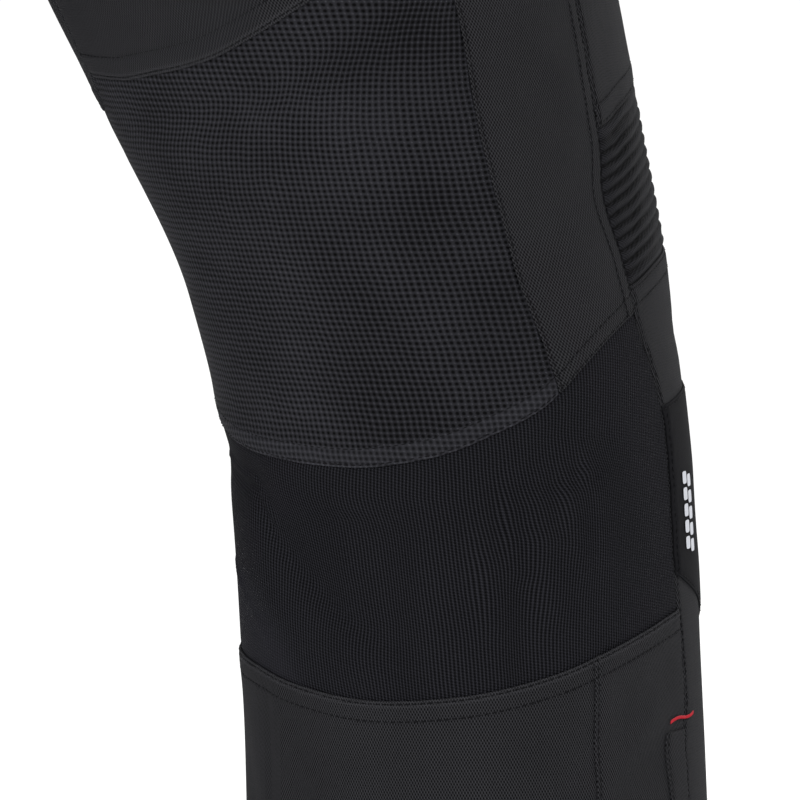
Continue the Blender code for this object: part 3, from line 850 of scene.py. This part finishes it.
@dataclass(frozen=True)
class Finish:
    """One finish of the trousers, made from what the real one is.

    pitch is the pattern's step across and along, relief its depth, both in millimetres. twill adds
    slanting lines to a weave and lean tilts the rows. stray gives the scale and the size of the
    pattern's drift, and fuzz those of the yarn's unevenness.
    """
    slot: str
    label: str
    pattern: Pattern
    low: str
    high: str
    roughness: float
    pitch: tuple[float, float]
    relief: float
    specular: float = 0.3
    metallic: float = 0.0
    twill: float = 0.0
    lean: float = 0.0
    stray: tuple[float, float] = (0.09, 0.9)
    fuzz: tuple[float, float] = (2.2, 0.9)

    def material(self) -> bpy.types.Material:
        """The finish's material, made once.

        Returns:
            The new material, or the one made before.
        """
        if self.label in bpy.data.materials:
            return bpy.data.materials[self.label]
        material = bpy.data.materials.new(self.label)
        material.use_nodes = True
        tree = material.node_tree
        shader = tree.nodes["Principled BSDF"]
        shader.inputs["Roughness"].default_value = self.roughness
        shader.inputs["Metallic"].default_value = self.metallic
        shader.inputs["Specular IOR Level"].default_value = self.specular
        height = self.height(tree)
        tone_and_shade = self.tone_and_fold_shade(tree)
        light = add_math(tree, "MULTIPLY_ADD", height, 0.5, 0.5)
        light = add_math(tree, "MULTIPLY", light, tone_and_shade)
        colour = add_node(tree, "Mix", {0: light, 6: to_linear(self.low), 7: to_linear(self.high)},
                          data_type="RGBA")
        tree.links.new(colour.outputs[2], shader.inputs["Base Color"])
        bump = add_node(tree, "Bump", {"Height": height, "Distance": self.relief * MM, "Strength": 1.0})
        tree.links.new(bump.outputs[0], shader.inputs["Normal"])
        return material

    def tone_and_fold_shade(self, tree: bpy.types.NodeTree) -> bpy.types.NodeSocket:
        """Slow drift in depth of colour over the cloth: partly its own uneven tone, partly painted shade of
        soft folds.

        Args:
            tree: the material's node tree.

        Returns:
            A factor from about 0.8 to 1.
        """
        place = add_node(tree, "TexCoord")
        noise = add_node(tree, "TexNoise", {"Vector": place.outputs["Object"], "Scale": 28.0,
                                            "Detail": 4.0})
        return add_math(tree, "MULTIPLY_ADD", noise.outputs["Fac"], 0.45, 0.72)

    def height(self, tree: bpy.types.NodeTree) -> bpy.types.NodeSocket:
        """Height of the finish's pattern, which also drives its colour.

        Args:
            tree: the material's node tree.

        Returns:
            The height, from about -1 to 1.
        """
        if self.pattern in (Pattern.THREAD, Pattern.FILM, Pattern.METAL, Pattern.COATED):
            place = add_node(tree, "TexCoord")
            grain = add_node(tree, "TexNoise", {"Vector": place.outputs["Object"],
                                                "Scale": 1 / (self.pitch[0] * MM), "Detail": 2.0})
            return add_math(tree, "MULTIPLY_ADD", grain.outputs["Fac"], 2.0, -1.0)
        cut = add_node(tree, "UVMap", uv_map="cut").outputs[0]
        stray = add_node(tree, "TexNoise", {"Vector": cut, "Scale": self.stray[0], "Detail": 2.0})
        drift = add_node(tree, "VectorMath", {0: stray.outputs["Color"], "Scale": self.stray[1]},
                         operation="SCALE")
        moved = add_node(tree, "VectorMath", {0: cut, 1: drift.outputs[0]}, operation="ADD")
        split = add_node(tree, "SeparateXYZ", {0: moved.outputs[0]})
        across, down = split.outputs[0], split.outputs[1]
        waves = []
        leant = add_math(tree, "MULTIPLY_ADD", across, self.lean, down)
        for place, pitch in zip((across, leant), self.pitch):
            waves.append(add_math(tree, "SINE", add_math(tree, "MULTIPLY", place, 2 * math.pi / pitch)))
        fuzz = add_node(tree, "TexNoise", {"Vector": cut, "Scale": self.fuzz[0], "Detail": 3.0})
        lump = add_math(tree, "MULTIPLY_ADD", fuzz.outputs["Fac"], self.fuzz[1], -self.fuzz[1] / 2)
        # The attribute holds the hem bands, and also painted highlight on rolled edges, painted washed-out
        # light on the knit and painted shade in the pleat valleys.
        hem_and_painted_shading = add_node(tree, "Attribute", attribute_name="hem_band").outputs["Fac"]
        if self.pattern is Pattern.RIB:
            return add_math(tree, "ADD", self.rib_height(tree, *waves, hem_and_painted_shading), lump)
        if self.pattern is Pattern.MESH:
            return self.mesh_height(tree, waves, lump, hem_and_painted_shading)
        turns = add_math(tree, "ADD", *(add_math(tree, "DIVIDE", place, pitch)
                                        for place, pitch in zip((across, down), self.pitch)))
        slant = add_math(tree, "SINE", add_math(tree, "MULTIPLY", turns, 2 * math.pi))
        twill = add_math(tree, "MULTIPLY_ADD", slant, self.twill, add_math(tree, "MULTIPLY", *waves))
        # In the weave it lightens rolled edges as painted highlight and darkens pleat valleys as painted
        # shade.
        return add_math(tree, "ADD", twill, add_math(tree, "MULTIPLY_ADD", hem_and_painted_shading, 0.7, lump))

    def mesh_height(self, tree: bpy.types.NodeTree, waves: list[bpy.types.NodeSocket],
                    lump: bpy.types.NodeSocket, hem_and_painted_shading: bpy.types.NodeSocket) -> bpy.types.NodeSocket:
        """Knitted mesh: small deep holes between raised knots with painted highlight, lighter and rough in
        a turned hem.

        Args:
            tree: the material's node tree.
            waves: a wave across the cut and one along it.
            lump: unevenness of the yarn.
            hem_and_painted_shading: 1 in a turned hem.

        Returns:
            The height, from about -1 to 1.
        """
        dots = add_math(tree, "MULTIPLY", add_math(tree, "ADD", *waves), 0.5)
        place = add_node(tree, "TexCoord").outputs["Object"]
        # Painted light: slow patches where the knots look brighter.
        drift = add_node(tree, "TexNoise", {"Vector": place, "Scale": 24.0})
        painted_knot_light = add_math(tree, "MULTIPLY_ADD", drift.outputs["Fac"], 1.1, -0.78)
        place = add_math(tree, "ADD", dots, lump)
        hole = add_node(tree, "MapRange", {0: place, 1: -0.8, 2: -0.1, 3: -0.9, 4: 0.0})
        # The knots' height also colours them lighter, a painted highlight.
        knot = add_node(tree, "MapRange", {0: place, 1: 0.3, 2: 0.9, 3: 0.0, 4: 1.1})
        open_mesh = add_math(tree, "ADD", add_math(tree, "ADD", hole.outputs[0], knot.outputs[0]), painted_knot_light)
        closed = add_math(tree, "MULTIPLY_ADD", place, 0.8, 0.35)
        mixed = add_node(tree, "Mix", {0: hem_and_painted_shading, 2: open_mesh, 3: closed}, data_type="FLOAT")
        return mixed.outputs[0]

    def rib_height(self, tree: bpy.types.NodeTree, rib: bpy.types.NodeSocket, loop: bpy.types.NodeSocket,
                   hem_and_painted_shading: bpy.types.NodeSocket) -> bpy.types.NodeSocket:
        """Round ribs with deep valleys, each a column of small loops, faded to a smooth lighter grey where
        washed-out light is painted.

        Args:
            tree: the material's node tree.
            rib: wave across the ribs.
            loop: wave along them.
            hem_and_painted_shading: 1 where washed-out light is painted on the knit.

        Returns:
            The height, from about -1 to 1.
        """
        crest = add_math(tree, "MULTIPLY_ADD", add_math(tree, "MAXIMUM", rib, -0.8), 0.9, -0.05)
        grip = add_math(tree, "MULTIPLY", loop, add_math(tree, "MULTIPLY_ADD", crest, 0.25, 0.45))
        ribbed = add_math(tree, "ADD", crest, grip)
        flat = add_math(tree, "MULTIPLY_ADD", loop, 0.1, 0.15)
        mixed = add_node(tree, "Mix", {0: hem_and_painted_shading, 2: ribbed, 3: flat}, data_type="FLOAT")
        return mixed.outputs[0]


# Pitches are in millimetres. The mesh's, the rib knit's and the weave's are as measured in the
# photograph. The grain of thread, film and metal is finer than a pixel, so it is drawn coarser.
FINISHES = {
    finish.slot: finish for finish in (
        # Polyester oxford: coarse weave of matt filament yarn, seen as fine slanting rows of pale dots
        Finish("woven_textile", "polyester_oxford", Pattern.WEAVE, "020203", "38383b", 0.8,
               pitch=(1.05, 1.9), relief=0.3, specular=0.06, twill=0.45),
        # Warp-knitted polyester mesh: matt knots round small open holes, over a black backing
        Finish("coarse_mesh", "polyester_mesh", Pattern.MESH, "020203", "37373c", 0.7,
               pitch=(2.15, 2.15), relief=0.6, specular=0.06, stray=(0.07, 1.5), fuzz=(0.9, 0.5)),
        # Elastane rib knit: soft and matt, blue-black in the valleys
        Finish("rib_knit_stretch", "elastane_rib_knit", Pattern.RIB, "030304", "2b2b30", 0.9,
               pitch=(1.3, 1.05), relief=0.35, specular=0.05, lean=0.2, stray=(0.04, 1.0), fuzz=(0.5, 0.3)),
        # Woven stretch nylon: matt and even, with painted shade darkening the valleys of the pleats
        Finish("accordion_stretch", "stretch_nylon", Pattern.WEAVE, "080809", "2c2c30", 0.8,
               pitch=(1.8, 0.9), relief=0.15, specular=0.06),
        # Polyurethane-coated cloth: smooth, dark and slightly grained
        Finish("coated_knee_cloth", "coated_nylon", Pattern.COATED, "0a0a0b", "1c1c1f", 0.85,
               pitch=(0.8, 0.8), relief=0.03, specular=0.04),
        # Bonded polyester thread: round and dark, darker than the cloth that it is sewn in
        Finish("sewing_thread", "black_thread", Pattern.THREAD, "060607", "121215", 0.7,
               pitch=(0.3, 0.3), relief=0.02, specular=0.08),
        # Polyester thread dyed red: close stitches that read as one soft bar
        Finish("red_thread", "red_thread_twist", Pattern.THREAD, "7d0012", "c30f26", 0.5,
               pitch=(0.3, 0.3), relief=0.02),
        # Retroreflective film: glass beads in grey resin, pale and finely grained
        Finish("reflective_film", "glass_bead_film", Pattern.FILM, "a9abb2", "c6c8cf", 0.55,
               pitch=(0.25, 0.25), relief=0.01, specular=0.5),
        # Blackened brass snap cap: dark metal with a soft shine
        Finish("blackened_metal", "blackened_brass", Pattern.METAL, "2a2a2c", "3c3c3f", 0.32,
               pitch=(1.2, 1.2), relief=0.01, specular=0.5, metallic=1.0),
    )
}


def stitch_arrays() -> tuple[np.ndarray, list[tuple[int, ...]]]:
    """One stitch that lies along X.

    Returns:
        Its points in millimetres and its faces.
    """
    bm = bmesh.new()
    bmesh.ops.create_uvsphere(bm, u_segments=5, v_segments=4, radius=1.0)
    points = np.array([vert.co[:] for vert in bm.verts])
    faces = [tuple(vert.index for vert in face.verts) for face in bm.faces]
    bm.free()
    points = points[:, [2, 0, 1]] * np.array([STITCH_LENGTH / 2, THREAD / 2, THREAD / 2])
    return points, faces


def add_stitches(name: str, paths: list[tuple[np.ndarray, np.ndarray]], slot: str,
                 pitch: float = STITCH_PITCH, lean: float = 0.0,
                 size: tuple[float, float] = (1.0, 1.0)) -> bpy.types.Object:
    """Rows of stitches along paths, joined in one mesh.

    Args:
        name: the object's name.
        paths: for each row its points and the cloth's normals there, in millimetres.
        slot: the thread's finish.
        pitch: distance from stitch to stitch in millimetres.
        lean: turn of each stitch from its row, in degrees.
        size: scale of each stitch along and across.

    Returns:
        The new object.
    """
    base, faces = stitch_arrays()
    base = base * np.array([size[0], size[1], size[1]])
    points, polygons = [], []
    for path, normals in paths:
        steps = np.linalg.norm(np.diff(path, axis=0), axis=1)
        length = np.concatenate([[0], np.cumsum(steps)])
        places = np.arange(pitch / 2, length[-1], pitch)
        centre = np.stack([np.interp(places, length, path[:, k]) for k in range(3)], -1)
        ahead = np.stack([np.interp(places + 0.5, length, path[:, k]) for k in range(3)], -1)
        behind = np.stack([np.interp(places - 0.5, length, path[:, k]) for k in range(3)], -1)
        up = np.stack([np.interp(places, length, normals[:, k]) for k in range(3)], -1)
        along = ahead - behind
        along /= np.linalg.norm(along, axis=1, keepdims=True)
        up -= np.sum(up * along, 1, keepdims=True) * along
        up /= np.linalg.norm(up, axis=1, keepdims=True)
        across = np.cross(up, along)
        turned = along * math.cos(math.radians(lean)) + across * math.sin(math.radians(lean))
        aside = np.cross(up, turned)
        for place, x_axis, y_axis, z_axis in zip(centre, turned, aside, up):
            first = len(points) * len(base)
            points.append(place + base[:, :1] * x_axis + base[:, 1:2] * y_axis + base[:, 2:] * z_axis)
            polygons += [tuple(first + k for k in face) for face in faces]
    mesh = bpy.data.meshes.new(name)
    mesh.from_pydata((np.concatenate(points) * MM).tolist(), [], polygons)
    mesh.shade_smooth()
    row = bpy.data.objects.new(name, mesh)
    bpy.context.scene.collection.objects.link(row)
    dress(row, slot)
    return row


def stitch_path(panel: Panel, row: Stitches) -> tuple[np.ndarray, np.ndarray]:
    """Line of a row of stitches on the left leg.

    Args:
        panel: the panel that it is sewn on.
        row: its edge and its distance from it.

    Returns:
        Its points in millimetres and the leg's normals there.
    """
    count = 400
    share = np.linspace(row.start, row.end, count)
    if row.side in (Side.TOP, Side.FOOT):
        edge = panel.levels[0] if row.side is Side.TOP else panel.levels[-1]
        sign = 1 if row.side is Side.TOP else -1
        middle = float(edge(np.array(180.0)))
        turn = panel.left(middle) + (panel.right(middle) - panel.left(middle)) * share
        drop = edge(turn) + sign * row.inset
        for _ in range(4):
            turn = panel.left(drop) + (panel.right(drop) - panel.left(drop)) * share
            drop = edge(turn) + sign * row.inset
    else:
        line = panel.left if row.side is Side.LEFT else panel.right
        sign = 1 if row.side is Side.LEFT else -1
        top, foot = panel.levels[0], panel.levels[-1]
        turn = np.full(count, 180.0)
        for _ in range(6):
            drop = top(turn) + (foot(turn) - top(turn)) * share
            turn = line(drop) + sign * row.inset / FORM.rate(line(drop), drop)
    return panel.surface(turn, drop, THREAD * 0.3), FORM.normal(turn, drop)


def hem_rows(side: Side, *insets: float) -> list[Stitches]:
    """Rows of topstitching at these distances from one edge."""
    return [Stitches(side, inset) for inset in insets]


class Leg:
    """All the cut pieces of both legs and their topstitching."""

    def panels(self) -> list[Panel]:
        """Every panel of a leg, from the waist down.

        Returns:
            The panels, in the order in which they are built.
        """
        under, over, abut, free = Join.UNDER, Join.OVER, Join.ABUT, Join.FREE
        seat_seam, knee_seam = smooth_curve(SEAT_SEAM), smooth_curve(KNEE_SEAM)
        calf_seam = smooth_curve(CALF_SEAM)
        pleat_top, pleat_foot = smooth_curve(ACCORDION_TOP_SEAM), smooth_curve(ACCORDION_FOOT_SEAM)
        zip_edge = beside(OUTSIDE, -13.0)

        def joins(left: Join, right: Join, top: Join, foot: Join) -> dict[Side, Join]:
            """Joins of a panel's four edges."""
            return {Side.LEFT: left, Side.RIGHT: right, Side.TOP: top, Side.FOOT: foot}

        return [
            Panel("seat", "woven_textile", back_inner, SPLIT, [level(WAISTBAND), level(FORK), seat_seam],
                  joins(abut, abut, under, over), 6.0, hem_rows(Side.FOOT, 1.2, 8.0), rolled=(Side.FOOT,)),
            Panel("mesh_back", "coarse_mesh", back_inner, SPLIT, [seat_seam, knee_seam],
                  joins(abut, under, under, over), 3.0, hem_rows(Side.FOOT, 1.0, 6.6), bands=(Side.FOOT,)),
            Panel("side_back", "woven_textile", SPLIT, OUTSIDE, [level(WAISTBAND), knee_seam],
                  joins(over, abut, under, over), 3.5,
                  hem_rows(Side.LEFT, 1.5) + hem_rows(Side.FOOT, 1.0, 6.6)
                  + hem_rows(Side.RIGHT, 1.4, 7.0)),
            Panel("knee_back_stretch", "rib_knit_stretch", back_inner, OUTSIDE, [knee_seam, calf_seam],
                  joins(abut, abut, under, under), 1.1, lift=-0.25, wall=STRETCH_WALL),
            Panel("calf_back", "woven_textile", back_inner, SPLIT, [calf_seam, level(OUTSEAM)],
                  joins(abut, under, over, free), 4.0,
                  hem_rows(Side.TOP, 1.2, 7.2) + hem_rows(Side.FOOT, ANKLE_HEM), rolled=(Side.TOP,)),
            Panel("calf_side", "woven_textile", SPLIT, OUTSIDE, [calf_seam, level(OUTSEAM)],
                  joins(over, abut, over, free), 3.0,
                  hem_rows(Side.LEFT, 1.5) + hem_rows(Side.TOP, 1.2, 7.2) + hem_rows(Side.FOOT, ANKLE_HEM),
                  rolled=(Side.TOP,)),
            Panel("calf_zip_flap", "woven_textile", zip_edge, beside(OUTSIDE, -0.3),
                  [level(ZIP_TOP), level(OUTSEAM)], joins(free, free, free, free), 3.0,
                  hem_rows(Side.LEFT, 1.6), lift=PATCH_LIFT, wall=PATCH_WALL),
            Panel("thigh_front", "woven_textile", OUTSIDE, front_inner,
                  [level(WAISTBAND), level(FORK), pleat_top], joins(abut, abut, under, over), 6.0,
                  hem_rows(Side.FOOT, 1.4, 8.0) + hem_rows(Side.LEFT, 1.4)),
            Panel("knee_accordion", "accordion_stretch", OUTSIDE, front_inner, [pleat_top, pleat_foot],
                  joins(abut, abut, under, under), 4.0, pleats=PLEATS),
            Panel("knee_front", "woven_textile", OUTSIDE, front_inner, [pleat_foot, level(OUTSEAM)],
                  joins(abut, abut, over, free), 5.0,
                  hem_rows(Side.TOP, 1.4, 7.0) + hem_rows(Side.LEFT, 1.6) + hem_rows(Side.FOOT, ANKLE_HEM)),
            Panel("knee_patch", "coated_knee_cloth", beside(OUTSIDE, 0.3), front_share(PATCH_SHARE),
                  [smooth_curve(PATCH_TOP_EDGE), smooth_curve(PATCH_FOOT_EDGE)],
                  joins(abut, free, free, free), 4.0,
                  hem_rows(Side.LEFT, 1.5) + hem_rows(Side.RIGHT, 1.5) + hem_rows(Side.TOP, 1.2)
                  + hem_rows(Side.FOOT, 1.2), lift=PATCH_LIFT, wall=PATCH_WALL),
        ]

    def build(self) -> None:
        """Build every panel on both legs, and the topstitching of each leg."""
        panels = self.panels()
        for leg in ("left", "right"):
            mirror = np.array([1 if leg == "left" else -1, 1, 1])
            paths = []
            for panel in panels:
                shell = panel.build(leg)
                LOG.info("%s: %d faces", shell.name, len(shell.data.polygons))
                rows = [stitch_path(panel, row) for row in panel.stitches]
                paths += [(path * mirror, normal * mirror) for path, normal in rows]
            seams = add_stitches(f"topstitching_{leg}", paths, "sewing_thread")
            LOG.info("%s: %d faces", seams.name, len(seams.data.polygons))
            self.add_bartack(panels[9], leg, mirror)
            self.add_tiles(panels[10], leg, mirror)

    def add_bartack(self, panel: Panel, leg: str, mirror: np.ndarray) -> None:
        """Red bar of close stitches at the top of the zip flap, bent like a soft S.

        Args:
            panel: the panel whose face it lies on.
            leg: "left" or "right".
            mirror: signs that turn the left leg into this one.
        """
        share = np.linspace(0, 1, 40)
        turn = 178.4 + 11.4 * share
        drop = 708.6 - 1.2 * share - 0.6 * np.sin(2 * np.pi * share)
        path = panel.surface(turn, drop, 0.7)
        bar = (path * mirror, FORM.normal(turn, drop) * mirror)
        tack = add_stitches(f"bartack_{leg}", [bar], "red_thread", pitch=0.3, lean=55.0, size=(0.7, 0.85))
        LOG.info("%s: %d faces", tack.name, len(tack.data.polygons))

    def add_tiles(self, patch: Panel, leg: str, mirror: np.ndarray) -> None:
        """Two short columns of small rounded reflective tiles at the outer edge of the knee patch.

        Args:
            patch: the knee patch.
            leg: "left" or "right".
            mirror: signs that turn the left leg into this one.
        """
        bm = bmesh.new()
        half_width, half_length, column_step, row_step = 2.6, 2.2, 6.2, 5.7
        for column in range(2):
            for row in range(5):
                first = len(bm.verts)
                bmesh.ops.create_grid(bm, x_segments=8, y_segments=8, size=1.0)
                bm.verts.ensure_lookup_table()
                square = np.array([vert.co[:2] for vert in bm.verts[first:]])
                radius = np.maximum(np.abs(square).max(axis=1), 1e-6)
                bulge = (np.abs(square) ** 5).sum(axis=1) ** 0.2
                square = square * (radius / np.maximum(bulge, 1e-6))[:, None]
                drop = 625.5 + row_step * row + 1.4 * column + square[:, 1] * half_length
                left = OUTSIDE(drop)
                inside = 12.5 + column_step * column + square[:, 0] * half_width
                turn = left + inside / FORM.rate(left, drop)
                points = patch.surface(turn, drop, 0.35) * mirror * MM
                for vert, point in zip(bm.verts[first:], points):
                    vert.co = point
        if leg == "right":
            bmesh.ops.reverse_faces(bm, faces=bm.faces[:])
        mesh = bpy.data.meshes.new(f"reflective_tiles_{leg}")
        bm.to_mesh(mesh)
        bm.free()
        mesh.shade_smooth()
        tiles = bpy.data.objects.new(mesh.name, mesh)
        bpy.context.scene.collection.objects.link(tiles)
        dress(tiles, "reflective_film")
        LOG.info("%s: %d faces", tiles.name, len(mesh.polygons))


@dataclass
class Waist:
    """Waistband, its snap and the flap over the fly."""
    overlap: float = 17.0
    fly_width: float = 46.0

    def band_grid(self) -> tuple[np.ndarray, np.ndarray, np.ndarray, np.ndarray]:
        """Lay rows and columns round the waistband, which overlaps itself at the front.

        Returns:
            The turn, drop, side and lift of every crossing.
        """
        drops = np.array([0, 0.3, 0.8, 1.5, 2.0, 2.6, 4, 8, 14, 20, 26, 32, 36, 37.4, 38, 38.6, 39.3, 39.8])
        step = 1.6
        stations = [(turn, -1, 0.0) for turn in np.arange(270, 90, -step)]
        stations += [(turn, 1, 0.0) for turn in np.arange(90, 268.6, step)]
        stations += [(turn, 1, LAID_ON * share) for turn, share in ((268.8, 0.3), (269.4, 0.7), (270, 1.0))]
        stations += [(turn, -1, LAID_ON) for turn in np.arange(269.2, 270 - self.overlap, -step)]
        turn = np.array([station[0] for station in stations])[None, :] + np.zeros((len(drops), 1))
        side = np.array([station[1] for station in stations])[None, :] + np.zeros((len(drops), 1))
        lift = np.array([station[2] for station in stations])[None, :] + np.zeros((len(drops), 1))
        drop = drops[:, None] + np.zeros_like(turn)
        middle = FORM.fork_turn(drop)
        squeezed = middle + (turn - 90) * (180 - middle) / 90
        opened = 180 + (turn - 180) * (180 - middle) / 90
        return np.where(turn < 180, squeezed, opened), drop, side, lift

    def build(self) -> None:
        """Build the band, its stitching, the fly flap and dress the snap."""
        turn, drop, side, lift = self.band_grid()
        groove = 0.3 * (swell(drop - 2.0, 0.6) + swell(drop - 38.0, 0.6)) + 0.35 * swell(drop - 39.8, 0.5)
        mirror = np.stack([side, np.ones_like(side), np.ones_like(side)], -1)
        plain, normal = FORM.plain(turn, drop) * mirror, FORM.normal(turn, drop) * mirror
        points = plain + normal * (lift + 0.5 - groove)[..., None]
        steps = np.linalg.norm(np.diff(plain, axis=1), axis=-1)
        across = np.concatenate([np.zeros((len(turn), 1)), np.cumsum(steps, axis=1)], axis=1)
        band = add_shell("waistband_cloth", points[:, ::-1], np.stack([across, -drop], -1)[:, ::-1],
                         np.zeros(turn.shape), 1.8, flip=False)
        dress(band, "woven_textile", "waistband")
        LOG.info("%s: %d faces", band.name, len(band.data.polygons))
        paths = [(points[row] + normal[row] * 0.1, normal[row]) for row in (4, 14)]
        add_stitches("waistband_stitching", paths, "sewing_thread")
        self.add_fly()
        snap = bpy.data.objects["waist_snap"]
        snap.data.materials.clear()
        snap.data.materials.append(FINISHES["blackened_metal"].material())

    def add_fly(self) -> None:
        """Flap over the fly on the left front, with a stitched edge."""
        edge = beside(front_inner, -1.6)
        panel = Panel("fly_flap", "woven_textile", beside(front_inner, -self.fly_width), edge,
                      [level(WAISTBAND + 0.4), level(HIP)],
                      {side: Join.FREE for side in Side}, 4.0,
                      hem_rows(Side.LEFT, 1.6, 7.0) + hem_rows(Side.FOOT, 1.6), lift=LAID_ON - 0.4)
        flap = panel.build("left")
        paths = [stitch_path(panel, row) for row in panel.stitches]
        add_stitches("fly_stitching", paths, "sewing_thread")
        LOG.info("%s: %d faces", flap.name, len(flap.data.polygons))


@dataclass(frozen=True)
class Studio:
    """White floor, soft studio light and the camera at the photograph's angle."""
    target: tuple[float, float, float] = (-0.155, -0.095, -0.600)
    azimuth: float = 28.0
    elevation: float = 5.5
    distance: float = 2.4
    half_width: float = 0.144
    floor_drop: float = -1.10

    def build(self) -> None:
        """Add the floor, the world, the lights and the camera."""
        scene = bpy.context.scene
        scene.view_settings.view_transform = "Standard"
        self.add_floor()
        world = bpy.data.worlds.new("studio")
        world.use_nodes = True
        world.node_tree.nodes["Background"].inputs["Color"].default_value = (1, 1, 1, 1)
        world.node_tree.nodes["Background"].inputs["Strength"].default_value = 1.0
        scene.world = world
        self.add_light("key", (-1.1, 2.8, 1.2), 46.0, 1.6)
        self.add_light("side", (2.2, 2.0, 0.2), 16.0, 1.6)
        self.add_light("front", (-0.6, -2.6, 0.8), 20.0, 2.0)
        self.add_camera()

    def add_floor(self) -> None:
        """Wide white floor."""
        bm = bmesh.new()
        bmesh.ops.create_circle(bm, cap_ends=True, segments=96, radius=40.0)
        bmesh.ops.translate(bm, verts=bm.verts[:], vec=(0, 0, self.floor_drop))
        mesh = bpy.data.meshes.new("floor")
        bm.to_mesh(mesh)
        bm.free()
        floor = bpy.data.objects.new("floor", mesh)
        bpy.context.scene.collection.objects.link(floor)
        material = bpy.data.materials.new("white_floor")
        material.use_nodes = True
        shader = material.node_tree.nodes["Principled BSDF"]
        shader.inputs["Base Color"].default_value = (0.93, 0.93, 0.93, 1.0)
        shader.inputs["Roughness"].default_value = 0.9
        shader.inputs["Specular IOR Level"].default_value = 0.0
        shader.inputs["Emission Color"].default_value = (1, 1, 1, 1)
        shader.inputs["Emission Strength"].default_value = 0.12
        mesh.materials.append(material)

    def add_light(self, name: str, place: tuple[float, float, float], power: float, size: float) -> None:
        """Soft square light that faces the target.

        Args:
            name: the light's name.
            place: where it stands, in metres.
            power: its power in watts.
            size: its side in metres.
        """
        lamp = bpy.data.lights.new(name, "AREA")
        lamp.energy = power
        lamp.size = size
        light = bpy.data.objects.new(name, lamp)
        light.location = place
        direction = Vector(self.target) - Vector(place)
        light.rotation_euler = direction.to_track_quat("-Z", "Y").to_euler()
        bpy.context.scene.collection.objects.link(light)

    def add_camera(self) -> None:
        """Camera behind the wearer's right knee, framed as the photograph is."""
        azimuth, elevation = math.radians(self.azimuth), math.radians(self.elevation)
        away = Vector((-math.sin(azimuth) * math.cos(elevation), math.cos(azimuth) * math.cos(elevation),
                       math.sin(elevation)))
        data = bpy.data.cameras.new("camera")
        data.sensor_width = 36.0
        data.lens = data.sensor_width / 2 * self.distance / self.half_width
        camera = bpy.data.objects.new("camera", data)
        camera.location = Vector(self.target) + away * self.distance
        camera.rotation_euler = (-away).to_track_quat("-Z", "Y").to_euler()
        bpy.context.scene.collection.objects.link(camera)
        bpy.context.scene.camera = camera


def main() -> None:
    """Build the studio, the waist and the legs."""
    logging.basicConfig(level=logging.INFO, format="%(name)s: %(message)s")
    Studio().build()
    Waist().build()
    Leg().build()


if __name__ == "__main__":
    main()
